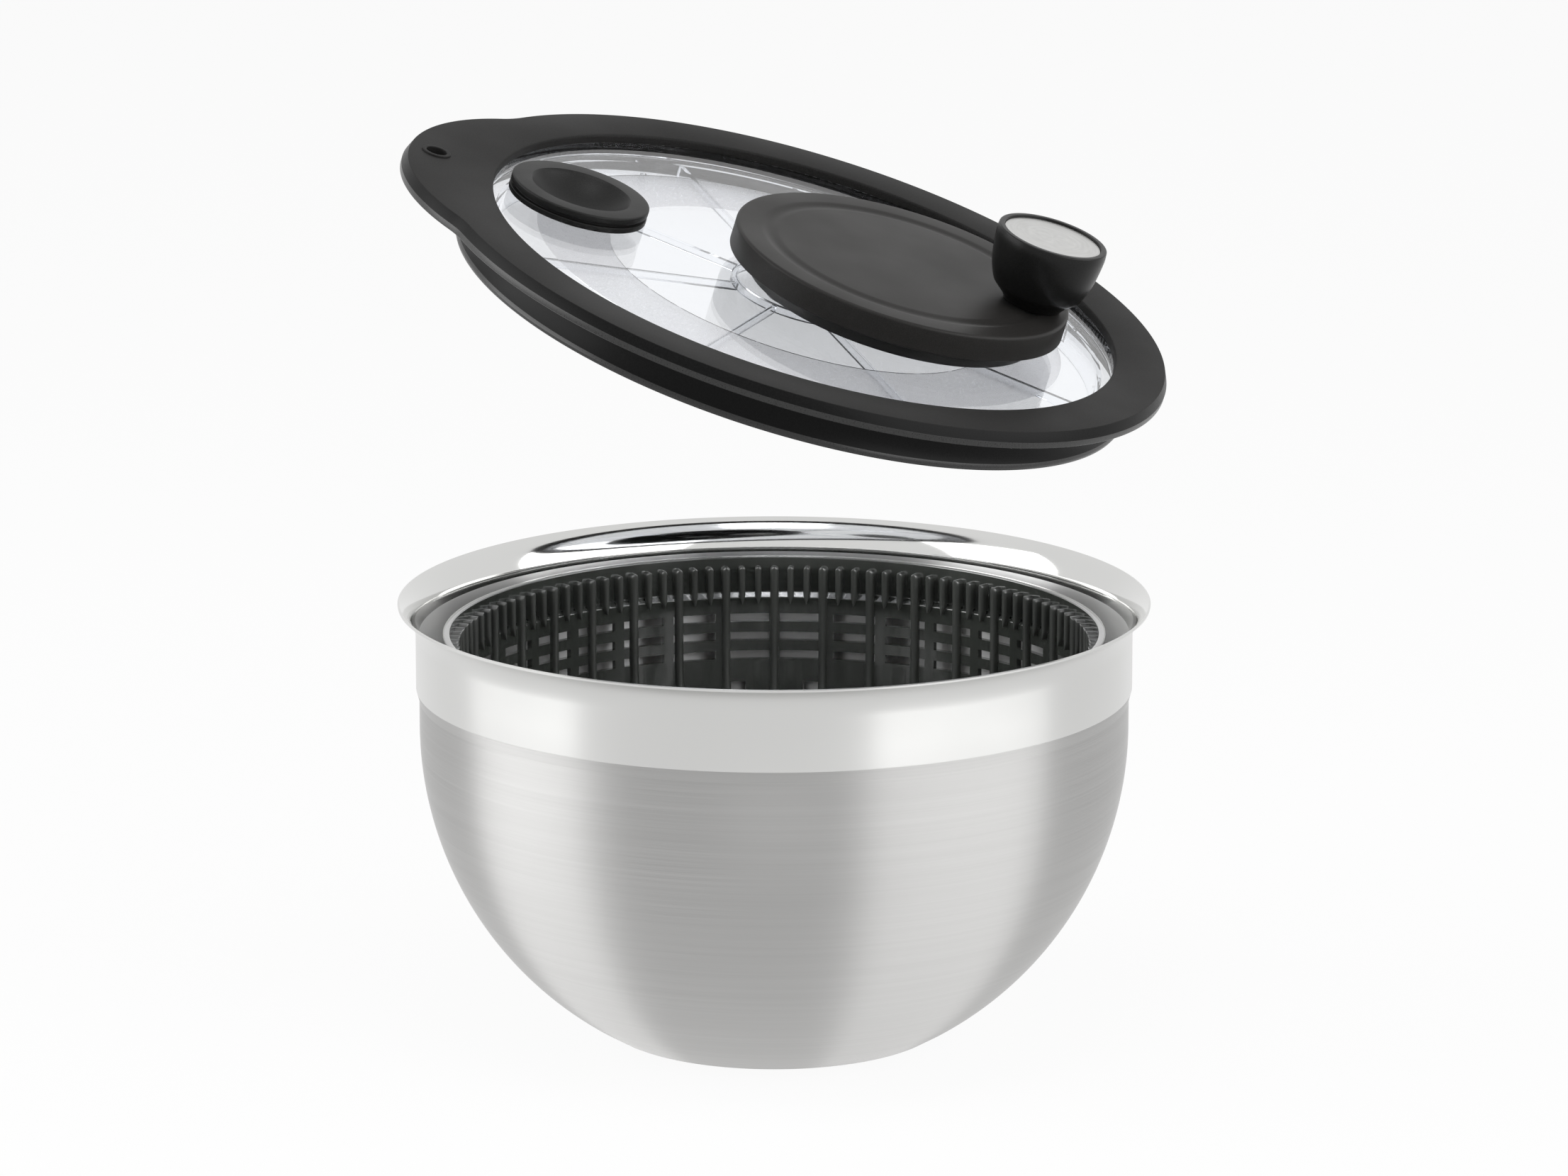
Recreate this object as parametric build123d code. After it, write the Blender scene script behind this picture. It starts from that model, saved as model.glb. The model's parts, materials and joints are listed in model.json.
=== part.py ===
"""Salad spinner: a steel bowl, a spinning basket on its own foot, and a crank lid with an internal gear.

All lengths are millimetres and +Z is up. The origin is the centre of the flat that the bowl stands on.
The basket is modelled in place. The lid's pieces are modelled in the lid's own frame, whose origin is the
centre of the silicone ring's top face, with +X towards the knob and +Z out of the lid. The lid is then
placed on the bowl and swung up about the line that it is lifted on.
"""

import os
from math import acos, asin, cos, degrees, pi, radians, sin, sqrt, tan

from build123d import *

# ---------------------------------------------------------------- driving sizes: bowl
BOWL_HEIGHT = 149.0
BODY_R = 120.0  # outside of the round body
BASE_R = 55.5  # flat that the bowl stands on
BASE_CORNER = 6.0
BODY_STRAIGHT = 9.6  # straight part of the body, between the round and the step
BAND_PROUD = 1.1  # polished band outside of the body
BAND_HEIGHT = 29.0  # from the rim down to the top of the step
STEP_RISE = 4.0
STEP_ROUND = 1.2
RIM_REACH = 5.9  # pouring rim outside of the band
RIM_TURN = 60.0  # degrees that the rim turns outwards
SHEET = 1.0

# ---------------------------------------------------------------- driving sizes: basket
BASKET_DROP = 10.5  # basket's rim below the bowl's rim
BASKET_GAP = 9.0  # water gap between the bowl's sheet and the basket
BASKET_WALL = 2.0
BASKET_FLOOR_Z = 12.0  # underside of the basket's floor
COLLAR_HEIGHT = 12.7
COLLAR_STEP = 1.6  # collar stands further out than the lattice
RIM_BEAD = 0.5
RIM_BEAD_HEIGHT = 2.0
LONG_RIBS = 40
RIBS_PER_STEP = 3  # one long rib, then two short ones
RIB_WIDTH = 2.0
RIB_REACH = 1.7  # from the lattice wall's inside to the rib's edge
RIB_DROP = 3.2  # rib tops below the basket's rim
RIB_TOP_CHAMFER = 0.7
SHORT_RIB_LENGTH = 13.2
SHORT_RIB_POINT = 3.0
LONG_RIB_FOOT = 0.444  # foot of the long ribs, as a share of the way from the floor to the lattice
LATTICE_BARS = 36
BAR_WIDTH = 3.7
LATTICE_ROWS = 3
LATTICE_DROP = 20.0  # top of the first row below the basket's rim
ROW_PITCH = 6.7
WINDOW_HEIGHT = 3.0
# drain slots: low and high end as shares of the way from the floor to the lattice, and the width
SLOT_TIERS = ((0.555, 0.910, 8.0), (0.178, 0.488, 6.0))
TIER_SLOTS = 24
FLOOR_SLOTS = 12
FLOOR_SLOT_WIDTH = 4.0
FLOOR_SLOT_INNER_R = 21.0
FLOOR_SLOT_OUTER_R = 49.0
BOSS_R = 14.0
BOSS_TOP_R = 9.5
BOSS_HEIGHT = 16.0  # above the underside of the floor

# ---------------------------------------------------------------- driving sizes: foot under the basket
PAD_R = 26.0
PAD_THICK = 1.6
FOOT_R = 24.0
FOOT_FLANGE = 3.0
FOOT_HUB_R = 8.0
PIVOT_R = 3.0
PIVOT_LENGTH = 21.0
BUSH_WALL = 2.6
BUSH_LENGTH = 11.0

# ---------------------------------------------------------------- driving sizes: lid ring and window
LID_OVERHANG = 0.1  # silicone ring outside of the bowl's rim
LID_EDGE = 5.5  # thickness of the silicone ring
EDGE_SLOPE_IN = 1.5
EDGE_SLOPE_DOWN = 3.3
WINDOW_SEAT = 5.0  # width that the window plate is held by
WINDOW_DEPTH = 3.0  # window plate below the ring's top face
WINDOW_ROUND = 0.9
PLATE_THICK = 3.0
PLATE_SKIRT_WALL = 2.0
PLATE_SKIRT_DEPTH = 14.5  # below the ring's top face
SKIRT_GAP = 3.4  # from the inside of the bowl's band to the skirt's lip
SKIRT_LIP = 1.6  # lip outside of the skirt
SKIRT_WALL = 1.8
SKIRT_DEPTH = 18.4
SKIRT_LIP_HEIGHT = 1.8
TAB_R = 78.0
TAB_REACH = 12.9  # hanging tab outside of the ring
TAB_BLEND = 35.0
HANG_HOLE_IN = 10.5  # from the tab's edge to the hole's centre
HANG_HOLE_R = 3.5
HANG_RING_WALL = 0.8
HANG_RING_RISE = 0.3

# ---------------------------------------------------------------- driving sizes: crank drive
MODULE = 1.2
RING_TEETH = 68
PINION_TEETH = 17
PRESSURE_ANGLE = 20.0
BACKLASH = 0.16
DEDENDUM = 1.25  # in modules
GEAR_WIDTH = 6.0
PINION_LIFT = 1.4  # pinion above the housing's floor
RING_WALL = 3.2
CRANK_R = 57.9
CRANK_TOP = 11.9
CRANK_SIDE = 8.8
CRANK_WALL = 2.2
CRANK_ROUND = 1.2
CRANK_GROOVE_R = 46.5
CRANK_GROOVE_WIDTH = 7.0
CRANK_GROOVE_DEPTH = 0.6
CRANK_HUB_R = 9.0
HOUSING_R = 49.5
HOUSING_WALL = 1.6
HOUSING_BOSS_R = 8.5
SCREW_CIRCLE_R = 22.0
SCREW_SPREAD = 100.0  # degrees between neighbouring housing screws
SCREW_R = 1.5
SCREW_HEAD_R = 3.0
SCREW_HEAD_HEIGHT = 1.6
SCREW_BOSS_R = 3.6
SCREW_REACH = 4.6
AXLE_R = 4.0
AXLE_THREAD_R = 3.0
AXLE_HEAD_R = 6.5
AXLE_HEAD_HEIGHT = 1.6
WASHER_THICK = 0.6
SHAFT_R = 4.0
SHAFT_HEAD_R = 6.8
CLIP_R = 6.4
CLIP_THICK = 0.8
CLIP_GROOVE = 0.6

# ---------------------------------------------------------------- driving sizes: driver disc
DRIVER_TOP = -9.3  # below the ring's top face
DRIVER_GAP = 1.8  # round the disc, inside the window plate's skirt
DRIVER_THICK = 2.0
DRIVER_HUB_R = 11.0
DRIVER_HUB_DROP = 3.4
DRIVER_RING_R = 22.5
DRIVER_RIBS = 8
DRIVER_RIB_START = 30.0  # degrees from the knob's direction
DRIVER_RIB_WIDTH = 1.8
DRIVER_RIB_DEPTH = 2.6
GUSSET_LENGTH = 12.0
GUSSET_DEPTH = 6.5
FROST_MARGIN = 18.2  # from the disc's edge to the frosted ring
FROST_WIDTH = 25.3
FROST_STEP = 0.2
FLANGE_WALL = 1.6
FLANGE_BOTTOM = -21.2  # below the ring's top face
LUGS = 12
LUG_WIDTH = 1.9
LUG_HEIGHT = 4.6

# ---------------------------------------------------------------- driving sizes: knob
KNOB_ARM = 44.8  # from the crank's axis
KNOB_TOP = 36.9
# knob's flank: depth below its top and radius
KNOB_PROFILE = ((0.4, 18.7), (4.0, 18.8), (12.5, 17.6), (18.5, 15.4), (20.6, 13.6), (22.8, 11.2))
KNOB_END_SLOPES = ((0.12, -1), (-0.2, -1))  # outward and upward, at the top and the foot of the flank
KNOB_TOP_ROUND = 0.4
KNOB_BASE_R = 9.8
KNOB_PIN_R = 3.0
KNOB_PIN_ROOT_R = 5.5
INSERT_R = 16.7
INSERT_THICK = 1.0
INSERT_RECESS = 0.7
KNOB_SCREW_R = 2.0
KNOB_SCREW_HEAD_R = 4.6
KNOB_SCREW_HEAD_HEIGHT = 2.2
KNOB_SCREW_REACH = 9.0

# ---------------------------------------------------------------- driving sizes: plug
PLUG_MARGIN = 5.0  # from the silicone ring to the plug
PLUG_R = 23.8
PLUG_TOP = 2.8
PLUG_TOP_FLANGE = 2.3
PLUG_GROOVE = 1.2
PLUG_GROOVE_R = 22.2
PLUG_DISH_R = 17.4
PLUG_DISH_DEPTH = 8.4
PLUG_STEM_R = 14.3
PLUG_WALL = 2.4

# ---------------------------------------------------------------- clearances
RUN = 0.05  # radial play of a shaft in its bush
LOOSE = 0.3  # gap between pieces that move past each other
PLAY = 0.6  # wider gap round gears and moulded parts

# ---------------------------------------------------------------- how the lid is held up
LID_YAW = -5.1  # degrees about the bowl's axis
LID_TILT = 18.14  # degrees about the lifting line
LIFT_DIRECTION = 64.9  # degrees: direction of the lifting line in plan
LIFT_REACH = 348.6  # lifting line from the bowl's axis
LIFT_HEIGHT = 23.2  # lifting line above the bowl's rim

# ---------------------------------------------------------------- worked out from the sizes above
BAND_R = BODY_R + BAND_PROUD
BAND_IN_R = BAND_R - SHEET
RIM_R = BAND_R + RIM_REACH
STEP_TOP_Z = BOWL_HEIGHT - BAND_HEIGHT
ROUND_Z = STEP_TOP_Z - STEP_RISE - BODY_STRAIGHT  # height of the widest point of the bowl's round
ROUND_AT = (BODY_R + BASE_R - ROUND_Z**2 / (BODY_R - BASE_R)) / 2  # centre of the round, from the bowl's axis
RIM_BEND_R = RIM_REACH / (1 - cos(radians(RIM_TURN)))
RIM_BEND_Z = BOWL_HEIGHT - (RIM_BEND_R + SHEET) * sin(radians(RIM_TURN))

BASKET_RIM_Z = BOWL_HEIGHT - BASKET_DROP
LEDGE_Z = BASKET_RIM_Z - COLLAR_HEIGHT
LATTICE_LOW_Z = BASKET_RIM_Z - LATTICE_DROP - (LATTICE_ROWS - 1) * ROW_PITCH - WINDOW_HEIGHT
BASKET_R = BODY_R - SHEET - BASKET_GAP  # outside of the lattice wall
BASKET_IN_R = BASKET_R - BASKET_WALL
COLLAR_IN_R = BASKET_IN_R + COLLAR_STEP
RIB_TIP_R = BASKET_IN_R - RIB_REACH
RIB_PITCH = 360 / (LONG_RIBS * RIBS_PER_STEP)

FOOT_Z = SHEET + PAD_THICK
FOOT_TOP_Z = BASKET_FLOOR_Z - LOOSE
BUSH_R = PIVOT_R + RUN + BUSH_WALL

LID_R = RIM_R + LID_OVERHANG
TAB_OFFSET = LID_R + TAB_REACH - TAB_R
HANG_HOLE_AT = LID_R + TAB_REACH - HANG_HOLE_IN
SKIRT_LIP_R = BAND_IN_R - SKIRT_GAP
SKIRT_R = SKIRT_LIP_R - SKIRT_LIP
PLATE_R = SKIRT_R - SKIRT_WALL
WINDOW_R = PLATE_R - WINDOW_SEAT
PLATE_TOP = -WINDOW_DEPTH
PLATE_BOTTOM = PLATE_TOP - PLATE_THICK
RING_PITCH_R = MODULE * RING_TEETH / 2
PINION_PITCH_R = MODULE * PINION_TEETH / 2
CRANK_AT = RING_PITCH_R - PINION_PITCH_R  # crank's axis from the lid's axis
RING_R = RING_PITCH_R + DEDENDUM * MODULE + RING_WALL
HOUSING_FLOOR_TOP = PLATE_TOP + HOUSING_WALL
PINION_BOTTOM = HOUSING_FLOOR_TOP + PINION_LIFT
PINION_TOP = PINION_BOTTOM + GEAR_WIDTH
CRANK_UNDER = CRANK_TOP - CRANK_WALL
CRANK_BOTTOM = CRANK_TOP - CRANK_SIDE
RING_BOTTOM = HOUSING_FLOOR_TOP + PLAY
RING_TOP = PINION_TOP + LOOSE
HUB_BOTTOM = CRANK_BOTTOM + LOOSE
SHAFT_BUSH_R = SHAFT_R + RUN + BUSH_WALL
AXLE_BUSH_R = AXLE_R + RUN + BUSH_WALL
DRIVER_R = PLATE_R - PLATE_SKIRT_WALL - DRIVER_GAP
DRIVER_UNDER = DRIVER_TOP - DRIVER_THICK
DRIVER_HUB_LOW = DRIVER_UNDER - DRIVER_HUB_DROP
FROST_OUTER_R = DRIVER_R - FROST_MARGIN
FROST_INNER_R = FROST_OUTER_R - FROST_WIDTH
FLANGE_R = RIB_TIP_R - PLAY
KNOB_AT = CRANK_AT + KNOB_ARM
KNOB_BOTTOM = CRANK_TOP + LOOSE
KNOB_SEAT = KNOB_TOP - INSERT_RECESS - INSERT_THICK  # under the steel insert
KNOB_PIN_TOP = KNOB_SEAT - KNOB_SCREW_HEAD_HEIGHT - LOOSE
PLUG_AT = WINDOW_R - PLUG_MARGIN - PLUG_R  # from the lid's axis, on the side away from the knob
PLUG_HOLE_R = PLUG_STEM_R + LOOSE


# ---------------------------------------------------------------- helpers
def turned(*outline):
    """Solid of revolution about Z of a closed outline drawn as (radius, height)."""
    return revolve(Plane.XZ * make_face(outline), Axis.Z)


def turned_polygon(*points):
    """Solid of revolution of a straight-sided outline."""
    return turned(Polyline(*points, close=True))


def disc(radius, low, high, at=0.0):
    """Round plate or pin between two heights, on an axis at X = at."""
    return Pos(at, 0, low) * Cylinder(radius, high - low, align=(Align.CENTER, Align.CENTER, Align.MIN))


def tube(outer_r, inner_r, low, high, at=0.0):
    """Round tube between two heights."""
    return disc(outer_r, low, high, at) - disc(inner_r, low - 1, high + 1, at)


def around(shape, count, start=0.0):
    """Copies of a shape about Z, evenly spaced from a start angle."""
    return [Rot(0, 0, start + 360 * index / count) * shape for index in range(count)]


def as_one(shape):
    """The single solid of a fused shape."""
    solids = shape.solids()
    return solids[0] if len(solids) == 1 else shape


def on_arc(centre, radius, angle):
    """Point of an arc in the profile plane, with the angle in degrees from the radial direction."""
    return (centre[0] + radius * cos(radians(angle)), centre[1] + radius * sin(radians(angle)))


def arc_between(centre, radius, start, end):
    """Arc about a centre from one angle to another, in degrees."""
    points = [on_arc(centre, radius, angle) for angle in (start, (start + end) / 2, end)]
    return ThreePointArc(*points)


def round_between(radius, low, high):
    """Part of the bowl's round between two heights, for a wall with this radius where it is widest."""
    arc_r = radius - ROUND_AT
    low_angle = -degrees(asin((ROUND_Z - low) / arc_r))
    high_angle = -degrees(asin((ROUND_Z - high) / arc_r))
    return arc_between((ROUND_AT, ROUND_Z), arc_r, low_angle, high_angle)


# ---------------------------------------------------------------- bowl
def bowl_line(inset):
    """Half outline of the bowl from the axis to the rim's edge, moved in by a part of the sheet."""
    body_r = BODY_R - inset
    band_r = BAND_R - inset
    round_arc = round_between(body_r, inset, ROUND_Z)
    bend_centre = (BAND_R + RIM_BEND_R, RIM_BEND_Z)
    return [
        Line((0, inset), round_arc @ 0),
        round_arc,
        Polyline(
            (body_r, ROUND_Z),
            (body_r, STEP_TOP_Z - STEP_RISE),
            (band_r, STEP_TOP_Z),
            (band_r, RIM_BEND_Z),
        ),
        arc_between(bend_centre, RIM_BEND_R + inset, 180, 180 - RIM_TURN),
    ]


def make_bowl():
    """Drawn steel bowl: flat base, round body, polished band above a small step, flared rim."""
    outer = bowl_line(0)
    inner = bowl_line(SHEET)
    rim_edge = Line(outer[-1] @ 1, inner[-1] @ 1)
    axis_edge = Line(outer[0] @ 0, inner[0] @ 0)
    face = make_face([*outer, rim_edge, *inner, axis_edge])
    steps = [v for v in face.vertices() if v.X > BODY_R - 2 * SHEET and ROUND_Z + 1 < v.Y < RIM_BEND_Z - 1]
    face = fillet(steps, STEP_ROUND)
    rim = [v for v in face.vertices() if v.Y > BOWL_HEIGHT - 2 * SHEET]
    face = fillet(rim, SHEET * 0.4)
    corners = [v for v in face.vertices() if v.Y < 2 * SHEET and v.X > BASE_R - BASE_CORNER]
    face = fillet(corners, BASE_CORNER)
    return revolve(Plane.XZ * face, Axis.Z)


# ---------------------------------------------------------------- foot and basket
def make_foot_pad():
    """Soft ring that keeps the foot from sliding on the bowl's floor."""
    pad = disc(PAD_R, SHEET, FOOT_Z) - disc(PIVOT_R + LOOSE, SHEET - 1, FOOT_Z + 1)
    return chamfer(pad.edges().filter_by(GeomType.CIRCLE).group_by(SortBy.RADIUS)[-1], PAD_THICK / 4)


def make_pivot_foot():
    """Moulded foot: a flange on the pad with a hub that stops just under the basket."""
    foot = turned_polygon(
        (PIVOT_R, FOOT_Z),
        (FOOT_R, FOOT_Z),
        (FOOT_R, FOOT_Z + FOOT_FLANGE / 2),
        (FOOT_R - FOOT_FLANGE, FOOT_Z + FOOT_FLANGE),
        (FOOT_HUB_R + FOOT_FLANGE, FOOT_Z + FOOT_FLANGE),
        (FOOT_HUB_R, FOOT_TOP_Z),
        (PIVOT_R, FOOT_TOP_Z),
    )
    return foot


def make_pivot_pin():
    """Steel pin that is fixed in the foot and carries the basket's bush."""
    pin = disc(PIVOT_R, FOOT_Z, FOOT_Z + PIVOT_LENGTH)
    return chamfer(pin.edges().sort_by(Axis.Z)[-1], PIVOT_R / 4)


def make_basket_bush():
    """Plain bush that is pressed into the basket's boss and turns on the pivot pin."""
    return tube(BUSH_R, PIVOT_R + RUN, BASKET_FLOOR_Z, BASKET_FLOOR_Z + BUSH_LENGTH)


def basket_line(inset):
    """Half outline of the basket's wall from the axis to the rim."""
    wall_r = BASKET_R - inset
    round_arc = round_between(wall_r, BASKET_FLOOR_Z + inset, ROUND_Z)
    return [
        Line((0, BASKET_FLOOR_Z + inset), round_arc @ 0),
        round_arc,
        Polyline(
            (wall_r, ROUND_Z),
            (wall_r, LEDGE_Z - COLLAR_STEP),
            (wall_r + COLLAR_STEP, LEDGE_Z),
            (wall_r + COLLAR_STEP, BASKET_RIM_Z),
        ),
    ]


def rib_outline(length, point):
    """Flat outline of a rib seen from the basket's axis, with its top at the origin."""
    half = RIB_WIDTH / 2
    top = [
        (-half, -RIB_TOP_CHAMFER),
        (-half + RIB_TOP_CHAMFER, 0),
        (half - RIB_TOP_CHAMFER, 0),
        (half, -RIB_TOP_CHAMFER),
    ]
    foot = [(half, point - length), (0, -length), (-half, point - length)]
    return make_face(Polyline(*top, *foot, close=True))


def rib_blades(length, point, angles):
    """Radial blades that cut a ring of rib stock into single ribs."""
    outline = Plane.YZ * rib_outline(length, point)
    blade = Pos(0, 0, BASKET_RIM_Z - RIB_DROP) * extrude(outline, BODY_R, dir=(1, 0, 0))
    return [Rot(0, 0, angle) * blade for angle in angles]


def way_up(share):
    """Height between the basket's floor and the foot of its lattice."""
    return BASKET_FLOOR_Z + share * (LATTICE_LOW_Z - BASKET_FLOOR_Z)


def make_basket_shell():
    """Wall and floor of the basket with the bead round its rim and the boss in its middle."""
    outer = basket_line(0)
    inner = basket_line(BASKET_WALL)
    rim_edge = Line(outer[-1] @ 1, inner[-1] @ 1)
    axis_edge = Line(outer[0] @ 0, inner[0] @ 0)
    shell = turned(*outer, rim_edge, *inner, axis_edge)
    bead_in_r = COLLAR_IN_R + BASKET_WALL / 2
    bead_r = COLLAR_IN_R + BASKET_WALL + RIM_BEAD
    bead = tube(bead_r, bead_in_r, BASKET_RIM_Z - RIM_BEAD_HEIGHT, BASKET_RIM_Z)
    boss_top = BASKET_FLOOR_Z + BOSS_HEIGHT
    boss = turned_polygon(
        (0, BASKET_FLOOR_Z),
        (BOSS_R, BASKET_FLOOR_Z),
        (BOSS_R, BASKET_FLOOR_Z + BASKET_WALL),
        (BOSS_TOP_R, boss_top),
        (0, boss_top),
    )
    return shell + bead + boss


def basket_windows():
    """Cutters of the lattice's windows, the drain slots and the floor's slots."""
    windows = []
    window_width = 2 * pi * BASKET_R / LATTICE_BARS - BAR_WIDTH
    half_pitch = 180 / LATTICE_BARS
    for row in range(LATTICE_ROWS):
        top = BASKET_RIM_Z - LATTICE_DROP - row * ROW_PITCH
        window = Pos(BASKET_R, 0, top - WINDOW_HEIGHT / 2) * Box(5 * BASKET_WALL, window_width, WINDOW_HEIGHT)
        windows += around(window, LATTICE_BARS, half_pitch)
    for low_share, high_share, width in SLOT_TIERS:
        low, high = way_up(low_share), way_up(high_share)
        slot = Pos(BASKET_R, 0, (low + high) / 2) * Box(BASKET_R, width, high - low)
        windows += around(slot, TIER_SLOTS, 180 / TIER_SLOTS)
    slot_length = FLOOR_SLOT_OUTER_R - FLOOR_SLOT_INNER_R
    slot_middle = (FLOOR_SLOT_OUTER_R + FLOOR_SLOT_INNER_R) / 2
    floor_slot = Pos(slot_middle, 0, BASKET_FLOOR_Z) * Box(slot_length, FLOOR_SLOT_WIDTH, 3 * BASKET_WALL)
    windows += around(floor_slot, FLOOR_SLOTS)
    return windows


def basket_ribs():
    """Long and short ribs, cut out of a ring that follows the inside of the wall."""
    bite = BASKET_WALL / 4  # how far the rib stock runs into the wall
    foot_z = way_up(LONG_RIB_FOOT)
    rib_top = BASKET_RIM_Z - RIB_DROP
    inner_arc = round_between(RIB_TIP_R, foot_z, ROUND_Z)
    outer_arc = round_between(BASKET_IN_R + bite, foot_z, ROUND_Z)
    rib_edge = Polyline((RIB_TIP_R, ROUND_Z), (RIB_TIP_R, rib_top), (COLLAR_IN_R + bite, rib_top))
    rib_back = Polyline(
        (COLLAR_IN_R + bite, rib_top),
        (COLLAR_IN_R + bite, LEDGE_Z),
        (BASKET_IN_R + bite, LEDGE_Z - COLLAR_STEP),
        (BASKET_IN_R + bite, ROUND_Z),
    )
    stock = turned(inner_arc, rib_edge, rib_back, outer_arc, Line(outer_arc @ 0, inner_arc @ 0))
    steps = LONG_RIBS * RIBS_PER_STEP
    long_angles = [RIB_PITCH * step for step in range(0, steps, RIBS_PER_STEP)]
    short_angles = [RIB_PITCH * step for step in range(steps) if step % RIBS_PER_STEP]
    long_length = rib_top - foot_z + 2 * SHORT_RIB_POINT
    blades = rib_blades(long_length, SHORT_RIB_POINT, long_angles)
    blades += rib_blades(SHORT_RIB_LENGTH, SHORT_RIB_POINT, short_angles)
    return (stock & Compound(blades)).solids()


def make_basket():
    """One moulding: collar with ribs that catch the driver, lattice wall, drain slots and centre boss."""
    bush_seat = disc(BUSH_R, BASKET_FLOOR_Z - 1, BASKET_FLOOR_Z + BUSH_LENGTH)
    pin_room = disc(PIVOT_R + PLAY, BASKET_FLOOR_Z, FOOT_Z + PIVOT_LENGTH + LOOSE)
    basket = make_basket_shell() - basket_windows()
    basket = basket - bush_seat - pin_room
    return as_one(basket + basket_ribs())


# ---------------------------------------------------------------- lid ring and window
def lid_outline():
    """Closed outline of the ring with its tab: two circles joined by a hollow blend on each side."""
    to_ring = LID_R + TAB_BLEND
    to_tab = TAB_R + TAB_BLEND
    blend_x = (to_tab**2 - to_ring**2 - TAB_OFFSET**2) / (2 * TAB_OFFSET)
    blend = Vector(blend_x, sqrt(to_ring**2 - blend_x**2))
    tab = Vector(-TAB_OFFSET, 0)
    from_ring = blend.normalized()
    from_tab = (blend - tab).normalized()
    on_ring = from_ring * LID_R
    on_tab = tab + from_tab * TAB_R
    on_blend = blend - (from_ring + from_tab).normalized() * TAB_BLEND

    def below(point):
        return Vector(point.X, -point.Y)

    return [
        ThreePointArc(below(on_ring), Vector(LID_R, 0), on_ring),
        ThreePointArc(on_ring, on_blend, on_tab),
        ThreePointArc(on_tab, tab - Vector(TAB_R, 0), below(on_tab)),
        ThreePointArc(below(on_tab), below(on_blend), below(on_ring)),
    ]


def make_silicone_rim():
    """Black silicone ring: flat top with a hanging tab, sloping edge and a skirt with a lip."""
    outline = make_face(lid_outline())
    plate = Pos(0, 0, -LID_EDGE) * extrude(outline, LID_EDGE)
    top_edges = plate.edges().filter_by(lambda edge: edge.center().Z > -0.01)
    plate = chamfer(top_edges, EDGE_SLOPE_DOWN, EDGE_SLOPE_IN)
    ring = plate - turned_polygon(
        (0, -LID_EDGE - 1),
        (PLATE_R, -LID_EDGE - 1),
        (PLATE_R, PLATE_TOP),
        (WINDOW_R, PLATE_TOP),
        (WINDOW_R, -WINDOW_ROUND),
        (WINDOW_R + WINDOW_ROUND / 3, -WINDOW_ROUND / 3),
        (WINDOW_R + WINDOW_ROUND, 0),
        (WINDOW_R + WINDOW_ROUND, 1),
        (0, 1),
    )
    lip_bottom = -SKIRT_DEPTH
    skirt = turned_polygon(
        (PLATE_R, -LID_EDGE + 1),
        (SKIRT_R, -LID_EDGE + 1),
        (SKIRT_R, lip_bottom + 2 * SKIRT_LIP_HEIGHT),
        (SKIRT_LIP_R, lip_bottom + SKIRT_LIP_HEIGHT / 2),
        (SKIRT_LIP_R, lip_bottom + SKIRT_LIP_HEIGHT / 4),
        (SKIRT_LIP_R - SKIRT_LIP_HEIGHT / 4, lip_bottom),
        (PLATE_R, lip_bottom),
    )
    eyelet = tube(HANG_HOLE_R + HANG_RING_WALL, HANG_HOLE_R, -LID_EDGE, HANG_RING_RISE, -HANG_HOLE_AT)
    hole = disc(HANG_HOLE_R, -LID_EDGE - 1, HANG_RING_RISE + 1, -HANG_HOLE_AT)
    return as_one(ring + skirt + eyelet - hole)


def screw_places():
    """Centres of the housing screws, all on the side of the crank's axis away from the pinion."""
    angles = (-SCREW_SPREAD, 0, SCREW_SPREAD)
    return [
        (CRANK_AT + SCREW_CIRCLE_R * cos(radians(angle)), SCREW_CIRCLE_R * sin(radians(angle)))
        for angle in angles
    ]


def make_window_plate():
    """Clear lid plate with a short skirt, and holes for the shaft, the crank's axle, screws and plug."""
    plate = turned_polygon(
        (0, PLATE_TOP),
        (PLATE_R, PLATE_TOP),
        (PLATE_R, -PLATE_SKIRT_DEPTH),
        (PLATE_R - PLATE_SKIRT_WALL, -PLATE_SKIRT_DEPTH),
        (PLATE_R - PLATE_SKIRT_WALL, PLATE_BOTTOM),
        (0, PLATE_BOTTOM),
    )
    low, high = PLATE_BOTTOM - 1, PLATE_TOP + 1
    plate -= disc(SHAFT_BUSH_R, low, high)
    plate -= disc(AXLE_BUSH_R, low, high, CRANK_AT)
    plate -= disc(PLUG_HOLE_R, low, high, -PLUG_AT)
    for x, y in screw_places():
        plate -= Pos(x, y, 0) * disc(SCREW_R, low, high)
    return plate


# ---------------------------------------------------------------- gear drive
def involute_angle(radius, base_r):
    """Roll angle of the involute at a radius, in radians."""
    if radius <= base_r:
        return 0.0
    pressure = acos(base_r / radius)
    return tan(pressure) - pressure


def gear_outline(teeth, tip_r, root_r, thickness):
    """Closed gear outline with involute flanks. A ring gear's outline is that of the space inside it."""
    pitch_r = MODULE * teeth / 2
    base_r = pitch_r * cos(radians(PRESSURE_ANGLE))
    half_at_pitch = thickness / (2 * pitch_r)
    radii = [root_r, base_r, pitch_r, tip_r] if root_r < base_r < pitch_r else [root_r, pitch_r, tip_r]
    flank = []
    for radius in radii:
        half = half_at_pitch + involute_angle(pitch_r, base_r) - involute_angle(radius, base_r)
        flank.append((radius, half))
    points = []
    for tooth in range(teeth):
        middle = 2 * pi * tooth / teeth
        left = [(radius, middle - half) for radius, half in flank]
        right = [(radius, middle + half) for radius, half in reversed(flank)]
        points += [(radius * cos(angle), radius * sin(angle)) for radius, angle in left + right]
    return make_face(Polyline(*points, close=True))


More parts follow.
